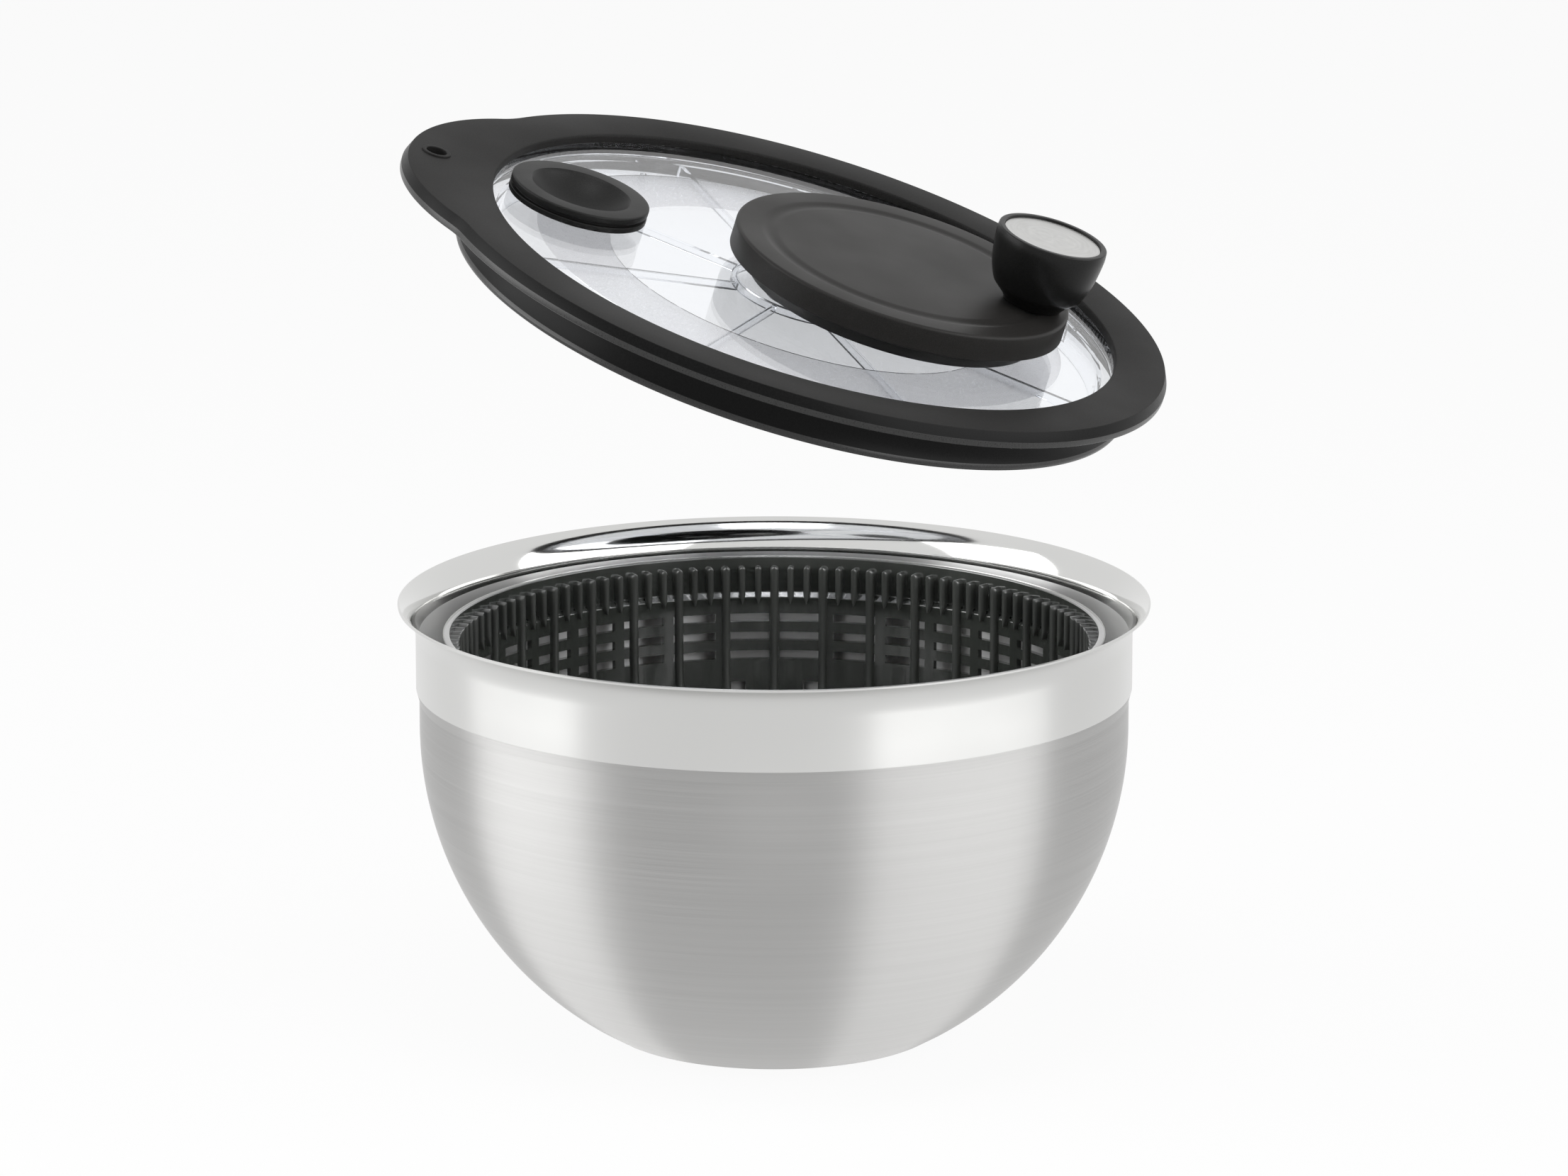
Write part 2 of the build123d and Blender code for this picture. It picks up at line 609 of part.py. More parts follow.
def make_pinion():
    """Pinion on the lid's axis, with a tooth facing away from the crank's axis."""
    tip_r = PINION_PITCH_R + MODULE
    root_r = PINION_PITCH_R - DEDENDUM * MODULE
    tooth = pi * MODULE / 2 - BACKLASH
    outline = gear_outline(PINION_TEETH, tip_r, root_r, tooth)
    gear = Pos(0, 0, PINION_BOTTOM) * extrude(Rot(0, 0, 180) * outline, GEAR_WIDTH)
    return gear - disc(SHAFT_R, PINION_BOTTOM - 1, PINION_TOP + 1)


def make_ring_gear():
    """Internal gear that turns with the crank, with a tooth space at the pinion."""
    space_tip_r = RING_PITCH_R + DEDENDUM * MODULE
    space_root_r = RING_PITCH_R - MODULE
    space = pi * MODULE / 2
    outline = gear_outline(RING_TEETH, space_tip_r, space_root_r, space)
    teeth = Pos(0, 0, RING_BOTTOM - 1) * extrude(outline, RING_TOP - RING_BOTTOM + 2)
    ring = disc(RING_R, RING_BOTTOM, RING_TOP) - teeth
    return Pos(CRANK_AT, 0, 0) * ring


def make_gear_housing():
    """Moulded pan on the window plate that closes the gears in, with bosses for axle and screws."""
    wall_top = CRANK_BOTTOM - LOOSE
    pan = tube(HOUSING_R, HOUSING_R - HOUSING_WALL, PLATE_TOP, wall_top)
    pan += disc(HOUSING_R, PLATE_TOP, HOUSING_FLOOR_TOP)
    pan += disc(HOUSING_BOSS_R, PLATE_TOP, wall_top)
    pan -= disc(AXLE_BUSH_R, PLATE_TOP - 1, wall_top + 1)
    pan = Pos(CRANK_AT, 0, 0) * pan
    boss_top = PLATE_TOP + SCREW_REACH + HOUSING_WALL
    for x, y in screw_places():
        pan += Pos(x, y, 0) * disc(SCREW_BOSS_R, PLATE_TOP, boss_top)
        pan -= Pos(x, y, 0) * disc(SCREW_R, PLATE_TOP - 1, PLATE_TOP + SCREW_REACH)
    pinion_room_r = PINION_PITCH_R + MODULE + PLAY
    return as_one(pan - disc(pinion_room_r, PLATE_TOP - 1, HOUSING_FLOOR_TOP + 1))


def make_housing_screws():
    """Three screws from under the window plate into the housing."""
    screws = []
    for x, y in screw_places():
        screw = disc(SCREW_R, PLATE_BOTTOM, PLATE_TOP + SCREW_REACH)
        screw += disc(SCREW_HEAD_R, PLATE_BOTTOM - SCREW_HEAD_HEIGHT, PLATE_BOTTOM)
        head_low = PLATE_BOTTOM - SCREW_HEAD_HEIGHT
        slot = Pos(0, 0, head_low) * Box(2 * SCREW_HEAD_R, SCREW_R / 2, SCREW_HEAD_HEIGHT / 2)
        screws.append(Pos(x, y, 0) * (screw - slot))
    return Compound(screws)


def flanged_bush(bore_r, outer_r, low, high, flange_low):
    """Bush from low to high, with a flange below a face at flange_low."""
    flange_r = outer_r + BUSH_WALL / 2
    bush = disc(outer_r, flange_low, high) + disc(flange_r, low, flange_low)
    return bush - disc(bore_r, low - 1, high + 1)


def make_centre_bush():
    """Bearing of the drive shaft in the window plate."""
    flange_low = PLATE_BOTTOM - WASHER_THICK
    return flanged_bush(SHAFT_R + RUN, SHAFT_BUSH_R, flange_low, PINION_BOTTOM - LOOSE, PLATE_BOTTOM)


def make_axle_bush():
    """Bearing of the crank's axle through the plate and the housing's boss."""
    flange_low = PLATE_BOTTOM - WASHER_THICK
    top = HUB_BOTTOM - LOOSE
    bush = flanged_bush(AXLE_R + RUN, AXLE_BUSH_R, flange_low, top, PLATE_BOTTOM)
    return Pos(CRANK_AT, 0, 0) * bush


def make_crank_disc():
    """Large flat crank with a turned-down edge, a ring groove, a hub and a seat for the knob's pin."""
    groove_in = CRANK_GROOVE_R - CRANK_GROOVE_WIDTH / 2
    groove_out = CRANK_GROOVE_R + CRANK_GROOVE_WIDTH / 2
    seat_r = RING_PITCH_R + DEDENDUM * MODULE
    profile = Polyline(
        (0, HUB_BOTTOM),
        (CRANK_HUB_R, HUB_BOTTOM),
        (CRANK_HUB_R, CRANK_UNDER),
        (seat_r, CRANK_UNDER),
        (seat_r, RING_TOP),
        (RING_R, RING_TOP),
        (RING_R, CRANK_UNDER),
        (CRANK_R - CRANK_WALL, CRANK_UNDER),
        (CRANK_R - CRANK_WALL, CRANK_BOTTOM),
        (CRANK_R, CRANK_BOTTOM),
        (CRANK_R, CRANK_TOP - CRANK_ROUND),
        (CRANK_R - CRANK_ROUND / 3, CRANK_TOP - CRANK_ROUND / 3),
        (CRANK_R - CRANK_ROUND, CRANK_TOP),
        (groove_out, CRANK_TOP),
    )
    groove = ThreePointArc(
        (groove_out, CRANK_TOP), (CRANK_GROOVE_R, CRANK_TOP - CRANK_GROOVE_DEPTH), (groove_in, CRANK_TOP)
    )
    closing = Polyline((groove_in, CRANK_TOP), (0, CRANK_TOP), (0, HUB_BOTTOM))
    crank = turned(profile, groove, closing)
    crank += disc(KNOB_PIN_ROOT_R, RING_TOP, CRANK_TOP, KNOB_ARM)
    crank -= disc(AXLE_THREAD_R, HUB_BOTTOM - 1, CRANK_UNDER)
    crank -= disc(KNOB_PIN_R, RING_TOP - 1, CRANK_TOP + 1, KNOB_ARM)
    return Pos(CRANK_AT, 0, 0) * crank


def make_crank_axle():
    """Shoulder bolt that holds the crank from below: head, shoulder in the bush, thread in the hub."""
    head_top = PLATE_BOTTOM - WASHER_THICK - LOOSE
    bolt = disc(AXLE_HEAD_R, head_top - AXLE_HEAD_HEIGHT, head_top)
    bolt += disc(AXLE_R, head_top, HUB_BOTTOM)
    bolt += disc(AXLE_THREAD_R, HUB_BOTTOM, CRANK_UNDER)
    slot = Pos(0, 0, head_top - AXLE_HEAD_HEIGHT) * Box(2 * AXLE_HEAD_R, AXLE_R / 3, AXLE_HEAD_HEIGHT)
    return Pos(CRANK_AT, 0, 0) * (bolt - slot)


# ---------------------------------------------------------------- driver
def driver_rib_face(flange_in):
    """Side view of one rib under the driver disc, which deepens to a gusset at the flange."""
    rib_low = DRIVER_UNDER - DRIVER_RIB_DEPTH
    gusset_low = DRIVER_UNDER - GUSSET_DEPTH
    gusset_start = flange_in - GUSSET_LENGTH
    gusset_bend = (flange_in - GUSSET_LENGTH / 3, rib_low - (GUSSET_DEPTH - DRIVER_RIB_DEPTH) / 3)
    in_flange = flange_in + FLANGE_WALL / 2
    under = Polyline((DRIVER_RING_R, DRIVER_UNDER), (DRIVER_RING_R, rib_low), (gusset_start, rib_low))
    gusset = ThreePointArc((gusset_start, rib_low), gusset_bend, (flange_in, gusset_low))
    back = Polyline(
        (flange_in, gusset_low),
        (in_flange, gusset_low),
        (in_flange, DRIVER_UNDER),
        (DRIVER_RING_R, DRIVER_UNDER),
    )
    return make_face([under, gusset, back])


def make_driver_disc():
    """Clear disc under the window with ribs, gussets, a hub ring and a flange with catching lugs."""
    flange_in = FLANGE_R - FLANGE_WALL
    hub_top = PLATE_BOTTOM - WASHER_THICK - LOOSE
    body = turned_polygon(
        (0, DRIVER_HUB_LOW),
        (DRIVER_HUB_R, DRIVER_HUB_LOW),
        (DRIVER_HUB_R, DRIVER_UNDER),
        (flange_in, DRIVER_UNDER),
        (flange_in, FLANGE_BOTTOM),
        (FLANGE_R, FLANGE_BOTTOM),
        (FLANGE_R, DRIVER_UNDER),
        (DRIVER_R, DRIVER_UNDER),
        (DRIVER_R, DRIVER_TOP),
        (FROST_OUTER_R, DRIVER_TOP),
        (FROST_OUTER_R, DRIVER_TOP - FROST_STEP),
        (FROST_INNER_R, DRIVER_TOP - FROST_STEP),
        (FROST_INNER_R, DRIVER_TOP),
        (DRIVER_HUB_R, DRIVER_TOP),
        (DRIVER_HUB_R, hub_top),
        (0, hub_top),
    )
    half = DRIVER_RIB_WIDTH / 2
    body += tube(DRIVER_RING_R + half, DRIVER_RING_R - half, DRIVER_UNDER - DRIVER_RIB_DEPTH, DRIVER_UNDER)
    rib = extrude(Plane.XZ * driver_rib_face(flange_in), half, both=True)
    body += around(rib, DRIVER_RIBS, DRIVER_RIB_START)
    lug_reach = COLLAR_IN_R - 2 * PLAY
    lug_mid = (FLANGE_R - FLANGE_WALL / 2 + lug_reach) / 2
    lug_length = lug_reach - FLANGE_R + FLANGE_WALL / 2
    lug = Pos(lug_mid, 0, FLANGE_BOTTOM + LUG_HEIGHT / 2) * Box(lug_length, LUG_WIDTH, LUG_HEIGHT)
    lug_start = RIB_PITCH / 2 - LID_YAW
    body += around(lug, LUGS, lug_start)
    return as_one(body - disc(SHAFT_R, DRIVER_HUB_LOW - 1, hub_top + 1))


def make_drive_shaft():
    """Steel shaft from the driver disc up through the plate to the pinion, with a head and a groove."""
    shaft = disc(SHAFT_R, DRIVER_HUB_LOW, PINION_TOP + 2 * CLIP_THICK)
    shaft += disc(SHAFT_HEAD_R, DRIVER_HUB_LOW - 2 * CLIP_THICK, DRIVER_HUB_LOW)
    return shaft - tube(SHAFT_R + 1, SHAFT_R - CLIP_GROOVE, PINION_TOP, PINION_TOP + CLIP_THICK)


def make_shaft_clip():
    """Retaining clip over the pinion, open on one side."""
    clip = tube(CLIP_R, SHAFT_R - CLIP_GROOVE, PINION_TOP, PINION_TOP + CLIP_THICK)
    mouth = Pos(-CLIP_R / 2, 0, PINION_TOP + CLIP_THICK / 2) * Box(CLIP_R, SHAFT_R * 1.2, 2 * CLIP_THICK)
    return as_one(clip - mouth)


# ---------------------------------------------------------------- knob
def make_knob_pin():
    """Steel pin of the knob, fixed in the crank."""
    pin = disc(KNOB_PIN_R, RING_TOP, KNOB_PIN_TOP)
    pin -= disc(KNOB_SCREW_R, KNOB_PIN_TOP - KNOB_SCREW_REACH, KNOB_PIN_TOP + 1)
    return Pos(KNOB_AT, 0, 0) * pin


def make_knob_screw():
    """Screw in the top of the pin whose head keeps the knob on."""
    head_top = KNOB_PIN_TOP + KNOB_SCREW_HEAD_HEIGHT
    screw = disc(KNOB_SCREW_R, KNOB_PIN_TOP - KNOB_SCREW_REACH, KNOB_PIN_TOP)
    screw += disc(KNOB_SCREW_HEAD_R, KNOB_PIN_TOP, head_top)
    slot = Pos(0, 0, head_top) * Box(2 * KNOB_SCREW_HEAD_R, KNOB_SCREW_R / 2, KNOB_SCREW_R)
    return Pos(KNOB_AT, 0, 0) * (screw - slot)


def make_knob():
    """Cup-shaped knob with a recess for its steel insert and a stepped bore for the pin and screw."""
    side = [(radius, KNOB_TOP - depth) for depth, radius in KNOB_PROFILE]
    flank = Spline(*side, (KNOB_BASE_R, KNOB_BOTTOM), tangents=KNOB_END_SLOPES)
    top = Polyline(
        (0, KNOB_SEAT),
        (INSERT_R, KNOB_SEAT),
        (INSERT_R, KNOB_TOP),
        (side[0][0] - KNOB_TOP_ROUND, KNOB_TOP),
        side[0],
    )
    base = Polyline((KNOB_BASE_R, KNOB_BOTTOM), (0, KNOB_BOTTOM), (0, KNOB_SEAT))
    knob = turned(top, flank, base)
    knob -= disc(KNOB_PIN_R + RUN, KNOB_BOTTOM - 1, KNOB_SEAT)
    counterbore = KNOB_SEAT - KNOB_SCREW_HEAD_HEIGHT - 2 * LOOSE
    knob -= disc(KNOB_SCREW_HEAD_R + LOOSE, counterbore, KNOB_SEAT + 1)
    return Pos(KNOB_AT, 0, 0) * knob


def make_knob_insert():
    """Brushed steel disc in the top of the knob."""
    top = KNOB_TOP - INSERT_RECESS
    insert = disc(INSERT_R, top - INSERT_THICK, top)
    insert = chamfer(insert.edges().sort_by(Axis.Z)[-1], INSERT_THICK / 4)
    return Pos(KNOB_AT, 0, 0) * insert


# ---------------------------------------------------------------- plug
def make_plug():
    """Soft dished plug of the filling hole, with two flanges and a groove between them."""
    groove_top = PLUG_TOP - PLUG_TOP_FLANGE
    groove_low = groove_top - PLUG_GROOVE
    seat = PLATE_TOP + LOOSE
    low = PLUG_TOP - PLUG_DISH_DEPTH - PLUG_WALL
    dish_ball_r = (PLUG_DISH_R**2 + PLUG_DISH_DEPTH**2) / (2 * PLUG_DISH_DEPTH)
    dish_centre = (0, PLUG_TOP - PLUG_DISH_DEPTH + dish_ball_r)
    edge_angle = -degrees(acos(PLUG_DISH_R / dish_ball_r))
    round_r = PLUG_TOP_FLANGE / 4
    dish = arc_between(dish_centre, dish_ball_r, -90, edge_angle)
    side = Polyline(
        (PLUG_DISH_R, PLUG_TOP),
        (PLUG_R - round_r, PLUG_TOP),
        (PLUG_R, PLUG_TOP - round_r),
        (PLUG_R, groove_top),
        (PLUG_GROOVE_R, groove_top),
        (PLUG_GROOVE_R, groove_low),
        (PLUG_R, groove_low),
        (PLUG_R, seat + round_r),
        (PLUG_R - round_r, seat),
        (PLUG_STEM_R, seat),
        (PLUG_STEM_R, low + PLUG_WALL / 2),
        (PLUG_STEM_R - PLUG_WALL / 2, low),
        (0, low),
        (0, PLUG_TOP - PLUG_DISH_DEPTH),
    )
    return Pos(-PLUG_AT, 0, 0) * turned(dish, side)


# ---------------------------------------------------------------- assembly
def lid_lifted(shape):
    """Places a lid piece on the bowl, then swings it up about the lifting line."""
    away = radians(LIFT_DIRECTION - 90)
    pivot = (LIFT_REACH * cos(away), LIFT_REACH * sin(away), BOWL_HEIGHT + LIFT_HEIGHT)
    line = (cos(radians(LIFT_DIRECTION)), sin(radians(LIFT_DIRECTION)), 0)
    closed = Pos(0, 0, BOWL_HEIGHT + LID_EDGE) * Rot(0, 0, LID_YAW) * shape
    return closed.rotate(Axis(pivot, line), LID_TILT)


STANDING = {
    "bowl": make_bowl,
    "foot_pad": make_foot_pad,
    "pivot_foot": make_pivot_foot,
    "pivot_pin": make_pivot_pin,
    "basket_bush": make_basket_bush,
    "basket": make_basket,
}

LID = {
    "silicone_rim": make_silicone_rim,
    "window_plate": make_window_plate,
    "gear_housing": make_gear_housing,
    "housing_screws": make_housing_screws,
    "centre_bush": make_centre_bush,
    "axle_bush": make_axle_bush,
    "crank_disc": make_crank_disc,
    "crank_axle": make_crank_axle,
    "ring_gear": make_ring_gear,
    "knob_pin": make_knob_pin,
    "knob_screw": make_knob_screw,
    "knob": make_knob,
    "knob_insert": make_knob_insert,
    "pinion": make_pinion,
    "drive_shaft": make_drive_shaft,
    "shaft_clip": make_shaft_clip,
    "driver_disc": make_driver_disc,
    "plug": make_plug,
}


def main():
    """Builds every piece and writes it to its own file."""
    os.makedirs("parts", exist_ok=True)
    for node, make in STANDING.items():
        export_step(make(), f"parts/{node}.step")
    for node, make in LID.items():
        export_step(lid_lifted(make()), f"parts/{node}.step")


main()
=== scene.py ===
"""Looks of a salad spinner: a steel bowl, a ribbed dark basket and a crank lid with a clear window.

Every piece is drawn in millimetres, the standing pieces about the bowl's axis and the lid's pieces about the
lid's own axis, and is then put in place in metres.
"""

import json
from math import acos, asin, atan2, cos, degrees, hypot, pi, radians, sin, sqrt

import bmesh
import bpy
from mathutils import Matrix, Vector


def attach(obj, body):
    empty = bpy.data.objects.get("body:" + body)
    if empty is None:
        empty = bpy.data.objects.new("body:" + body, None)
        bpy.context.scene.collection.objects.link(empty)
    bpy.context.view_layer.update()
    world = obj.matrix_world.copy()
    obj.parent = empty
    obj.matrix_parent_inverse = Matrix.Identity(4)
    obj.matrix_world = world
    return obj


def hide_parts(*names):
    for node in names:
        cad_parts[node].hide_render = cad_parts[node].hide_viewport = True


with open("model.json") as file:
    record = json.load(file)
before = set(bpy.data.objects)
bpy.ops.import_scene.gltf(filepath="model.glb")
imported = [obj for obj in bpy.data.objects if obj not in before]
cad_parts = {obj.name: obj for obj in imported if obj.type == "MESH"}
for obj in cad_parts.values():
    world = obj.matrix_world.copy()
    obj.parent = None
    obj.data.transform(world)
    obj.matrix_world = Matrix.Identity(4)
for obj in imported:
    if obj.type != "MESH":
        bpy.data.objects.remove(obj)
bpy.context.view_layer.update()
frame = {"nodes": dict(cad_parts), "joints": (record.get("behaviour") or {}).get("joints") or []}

MM = 0.001

# ---------------------------------------------------------------- sizes: bowl
BOWL_HEIGHT = 149.0
BODY_R = 120.0
BASE_R = 55.5
BASE_CORNER = 6.0
BAND_R = 121.1
STEP_TOP_Z = 120.0
STEP_LOW_Z = 116.0
STEP_ROUND = 1.2
RIM_BEND_R = 11.8
RIM_TURN = 60.0
FLARE_DEPTH = 16.0  # mirror-bright stretch inside, below the rim's edge
SHEET = 1.0
ROUND_Z = 106.4  # height where the bowl's round is widest
POLISH_START_Z = STEP_TOP_Z - 1.5
ROUND_START = 4.5  # degrees up from the base where the plain round begins
CORNER_LEG = 2.6  # degrees up the round that the base's corner aims at
CORNER_LEAN = (8.0, 4.0)  # and how far that aim leans out and up

# ---------------------------------------------------------------- sizes: basket
BASKET_R = 110.0
BASKET_IN_R = 108.0
COLLAR_IN_R = 109.6
COLLAR_R = 111.6
BEAD_R = 112.1
BASKET_RIM_Z = 138.5
BEAD_LOW_Z = 136.5
LEDGE_Z = 125.8
LEDGE_LOW_Z = 124.2
FLOOR_LOW_Z = 12.0
WALL_LOW_Z = FLOOR_LOW_Z + 1.0
WALL_BEND_Z = 20.0
SLOT_HEAD_Z = 98.0
FLOOR_TOP_Z = 14.0
BOSS_R = 14.0
BOSS_TOP_R = 9.5
BOSS_TOP_Z = 28.0
BUSH_SEAT_R = 5.65
PIN_ROOM_R = 3.6
BUSH_SEAT_Z = 23.0
PIN_ROOM_Z = 23.9
LATTICE_TOP_Z = 119.6
WINDOW_TOPS = (118.5, 111.8, 105.1)
WINDOW_HEIGHT = 3.0
LATTICE_LOW_Z = 101.2
LATTICE_BARS = 36
BAR_WIDTH = 3.7
SLOT_SECTORS = 24
SLOT_TIERS = ((62.0, 94.0, 8.0), (28.0, 56.0, 6.0))
FLOOR_SLOTS = 12
FLOOR_SLOT_WIDTH = 4.0
FLOOR_SLOT_REACH = (21.0, 49.0)
RIB_TOP_Z = 135.3
RIB_TIP_R = 106.3
LONG_RIB_HALF = 1.5
SHORT_RIB_HALF = 1.1
LONG_RIBS = 40
LONG_RIB_FOOT_Z = 52.0
SHORT_RIB_LENGTH = 13.2
RIB_POINT = 3.0
RIB_BITE = 0.6  # depth of a rib's back in the wall
RIB_BENDS = (98.0, 86.0, 74.0, 64.0)
RIB_DOME = (0.1, 0.4, 0.8, 1.2, pi / 2)  # turn of the rounded top, in radians

# ---------------------------------------------------------------- sizes: lid
LID_R = 127.1
LID_EDGE = 5.5
EDGE_SLOPE_IN = 1.5
EDGE_SLOPE_DOWN = 3.3
TAB_R = 78.0
TAB_AT = 62.0
TAB_BLEND = 35.0
HANG_HOLE_AT = 129.5
HANG_HOLE_R = 3.5
EYELET_WIDTH = 1.5
EYELET_RISE = 0.5
EDGE_POINTS = 12  # of a loop of the ring; the skirt and the inside follow
WINDOW_R = 108.3
WINDOW_ROUND = 0.9
PLATE_TOP = -3.0
PLATE_BOTTOM = -6.0
PLATE_R = 113.3
PLATE_SKIRT_R = 111.3
PLATE_SKIRT_LOW = -14.5
PLATE_HOLE_R = 6.65
PLUG_HOLE_R = 14.6
PLATE_CUT = (-8.0, -1.0)
HANG_CUT = (-8.0, 2.0)
SKIRT_R = 115.1
SKIRT_LIP_R = 116.7
SKIRT_LOW = -18.4
CRANK_AT = 30.6
CRANK_R = 57.9
CRANK_TOP = 11.9
CRANK_LOW = 3.1
CRANK_WALL = 2.2
CRANK_ROUND = 1.2
CRANK_BOSS_R = 9.0
CRANK_GROOVE_R = 46.5
CRANK_GROOVE_WIDTH = 7.0
CRANK_GROOVE_DEPTH = 0.6
KNOB_AT = 75.4
KNOB_TOP = 36.9
KNOB_LOW = 12.2
KNOB_BASE_R = 9.8
KNOB_FLANK = ((0.4, 18.7), (4.0, 18.8), (12.5, 17.6), (18.5, 15.4), (20.6, 13.6), (22.8, 11.2))
KNOB_BORE_R = 3.05
KNOB_BORE_TOP = 32.0
KNOB_LIP_R = 18.6
SCREW_ROOM_R = 4.9
INSERT_R = 16.7
INSERT_TOP = 36.2
INSERT_LOW = 35.2
PLUG_AT = 79.5
PLUG_R = 23.8
PLUG_TOP = 2.8
PLUG_DISH_R = 17.4
PLUG_DISH_DEPTH = 8.4
PLUG_STEM_R = 14.3
PLUG_WALL = 2.4
PLUG_GROOVE_R = 22.2
PLUG_GROOVE_TOP = 0.5
PLUG_GROOVE_LOW = -0.7
DRIVER_TOP = -9.3
DRIVER_LOW = -11.3
DRIVER_R = 109.5
DRIVER_HUB_R = 11.0
DRIVER_HUB_TOP = -6.9
DRIVER_HUB_LOW = -14.7
DRIVER_BORE_R = 4.0
DRIVER_RING_R = 22.5
DRIVER_RIBS = 8
DRIVER_RIB_START = 30.0
DRIVER_RIB_HALF = 0.9
DRIVER_RIB_DEPTH = 2.6
GUSSET_LENGTH = 12.0
GUSSET_DEPTH = 6.5
FROST_IN_R = 66.0
FROST_OUT_R = 91.3
FROST_STEP = 0.2
FLANGE_R = 105.7
FLANGE_IN_R = 104.1
FLANGE_LOW = -21.2
LUGS = 12
LUG_START = 6.6
LUG_REACH = 108.4
LUG_HALF = 0.95
LUG_HEIGHT = 4.6
LUG_TRIM = 0.3

ROUND_STEPS = 240  # faces round a turned piece
FLAT_SHARP = 4.0  # degrees; keeps wide flat faces truly flat beside tiny rounds


# ---------------------------------------------------------------- the lid's own axes
def joint(name):
    """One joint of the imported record."""
    return next(j for j in frame["joints"] if j["name"] == name)


def lid_axes():
    """Placement of the lid: its centre on the driver's axis, Z out of the lid and X towards the crank."""
    centre = Vector(joint("driver_spin")["pos_m"])
    up = Vector(joint("driver_spin")["axis"]).normalized()
    towards = Vector(joint("crank_spin")["pos_m"]) - centre
    across = (towards - up * towards.dot(up)).normalized()
    side = up.cross(across)
    place = Matrix((across, side, up)).transposed().to_4x4()
    place.translation = centre
    return place


STANDING = Matrix.Identity(4)
LID = lid_axes()


def on_lid(across):
    """Placement of a piece that stands across from the lid's axis, on the lid's own X."""
    return LID @ Matrix.Translation((across * MM, 0, 0))


# ---------------------------------------------------------------- outlines
def arc(centre, radius, start, end, steps=8):
    """Points of an arc in a profile, with its angles in degrees from the radial direction."""
    turn = [radians(start + (end - start) * i / steps) for i in range(steps + 1)]
    return [(centre[0] + radius * cos(a), centre[1] + radius * sin(a)) for a in turn]


def softened(corners, steps=4):
    """Outline through corners (radius, height) or (radius, height, rounding), each with its rounding."""
    points = []
    count = len(corners)
    for i, corner in enumerate(corners):
        here = Vector(corner[:2])
        rounding = corner[2] if len(corner) > 2 else 0.0
        if rounding == 0.0:
            points.append(tuple(here))
            continue
        before = (Vector(corners[i - 1][:2]) - here).normalized()
        after = (Vector(corners[(i + 1) % count][:2]) - here).normalized()
        half = before.angle(after) / 2
        reach = rounding / max(0.05, sin(half) / cos(half)) if half < pi / 2 - 0.01 else 0.0
        first, last = here + before * reach, here + after * reach
        for k in range(steps + 1):
            t = k / steps
            point = first * (1 - t) ** 2 + here * 2 * t * (1 - t) + last * t**2
            points.append(tuple(point))
    return points


def round_point(radius, height):
    """Angle in degrees on the round of the bowl or basket at a height, for a wall of that radius."""
    return -degrees(asin((ROUND_Z - height) / radius))


def smooth_line(points):
    """Smooth line through points, for a moulded flank."""
    steps = 6
    ends = [points[0]] + list(points) + [points[-1]]
    line = []
    for i in range(1, len(ends) - 2):
        a, b, c, d = (Vector(p) for p in ends[i - 1 : i + 3])
        for k in range(steps):
            t = k / steps
            bend = 2 * a - 5 * b + 4 * c - d
            twist = 3 * b - a - 3 * c + d
            line.append(tuple((2 * b + (c - a) * t + bend * t**2 + twist * t**3) / 2))
    line.append(tuple(points[-1]))
    return line


def circle(radius, height, steps, at=(0.0, 0.0)):
    """Points round a circle at a height."""
    turn = [2 * pi * k / steps for k in range(steps)]
    return [(at[0] + radius * cos(a), at[1] + radius * sin(a), height) for a in turn]


# ---------------------------------------------------------------- meshes
def new_mesh(name, verts, faces):
    mesh = bpy.data.meshes.new(name)
    mesh.from_pydata(verts, [], faces)
    return mesh


def new_object(name, data):
    thing = bpy.data.objects.new(name, data)
    bpy.context.scene.collection.objects.link(thing)
    return thing


def outward(mesh, merge=0.0):
    """Points a mesh's faces outward, after merging points that are closer than merge."""
    form = bmesh.new()
    form.from_mesh(mesh)
    if merge:
        bmesh.ops.remove_doubles(form, verts=form.verts, dist=merge)
    bmesh.ops.recalc_face_normals(form, faces=form.faces)
    form.to_mesh(mesh)
    form.free()


def finished(name, mesh, place, body, materials, sharp=35.0):
    """Turns a mesh in millimetres into a piece of the object, in place and riding on its body."""
    mesh.transform(place @ Matrix.Scale(MM, 4))
    outward(mesh, 1e-7)
    mesh.shade_smooth()
    mesh.set_sharp_from_angle(angle=radians(sharp))
    if not mesh.materials:
        for material in materials:
            mesh.materials.append(material)
    mesh.name = name
    piece = new_object(name, mesh)
    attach(piece, body)
    return piece


def turned(outline, zones=None, steps=ROUND_STEPS):
    """Mesh of a closed outline turned about Z. A zone number per outline edge picks its material."""
    verts, rings = [], []
    for radius, height in outline:
        if radius < 1e-6:
            rings.append([len(verts)] * steps)
            verts.append((0, 0, height))
            continue
        first = len(verts)
        rings.append([first + k for k in range(steps)])
        verts += circle(radius, height, steps)
    faces, marks = [], []
    for i, ring in enumerate(rings):
        after = rings[(i + 1) % len(rings)]
        for k in range(steps):
            corners = [ring[k], ring[(k + 1) % steps], after[(k + 1) % steps], after[k]]
            face = list(dict.fromkeys(corners))
            if len(face) > 2:
                faces.append(face)
                marks.append(zones[i] if zones else 0)
    mesh = new_mesh("turned", verts, faces)
    mesh.polygons.foreach_set("material_index", marks)
    return mesh


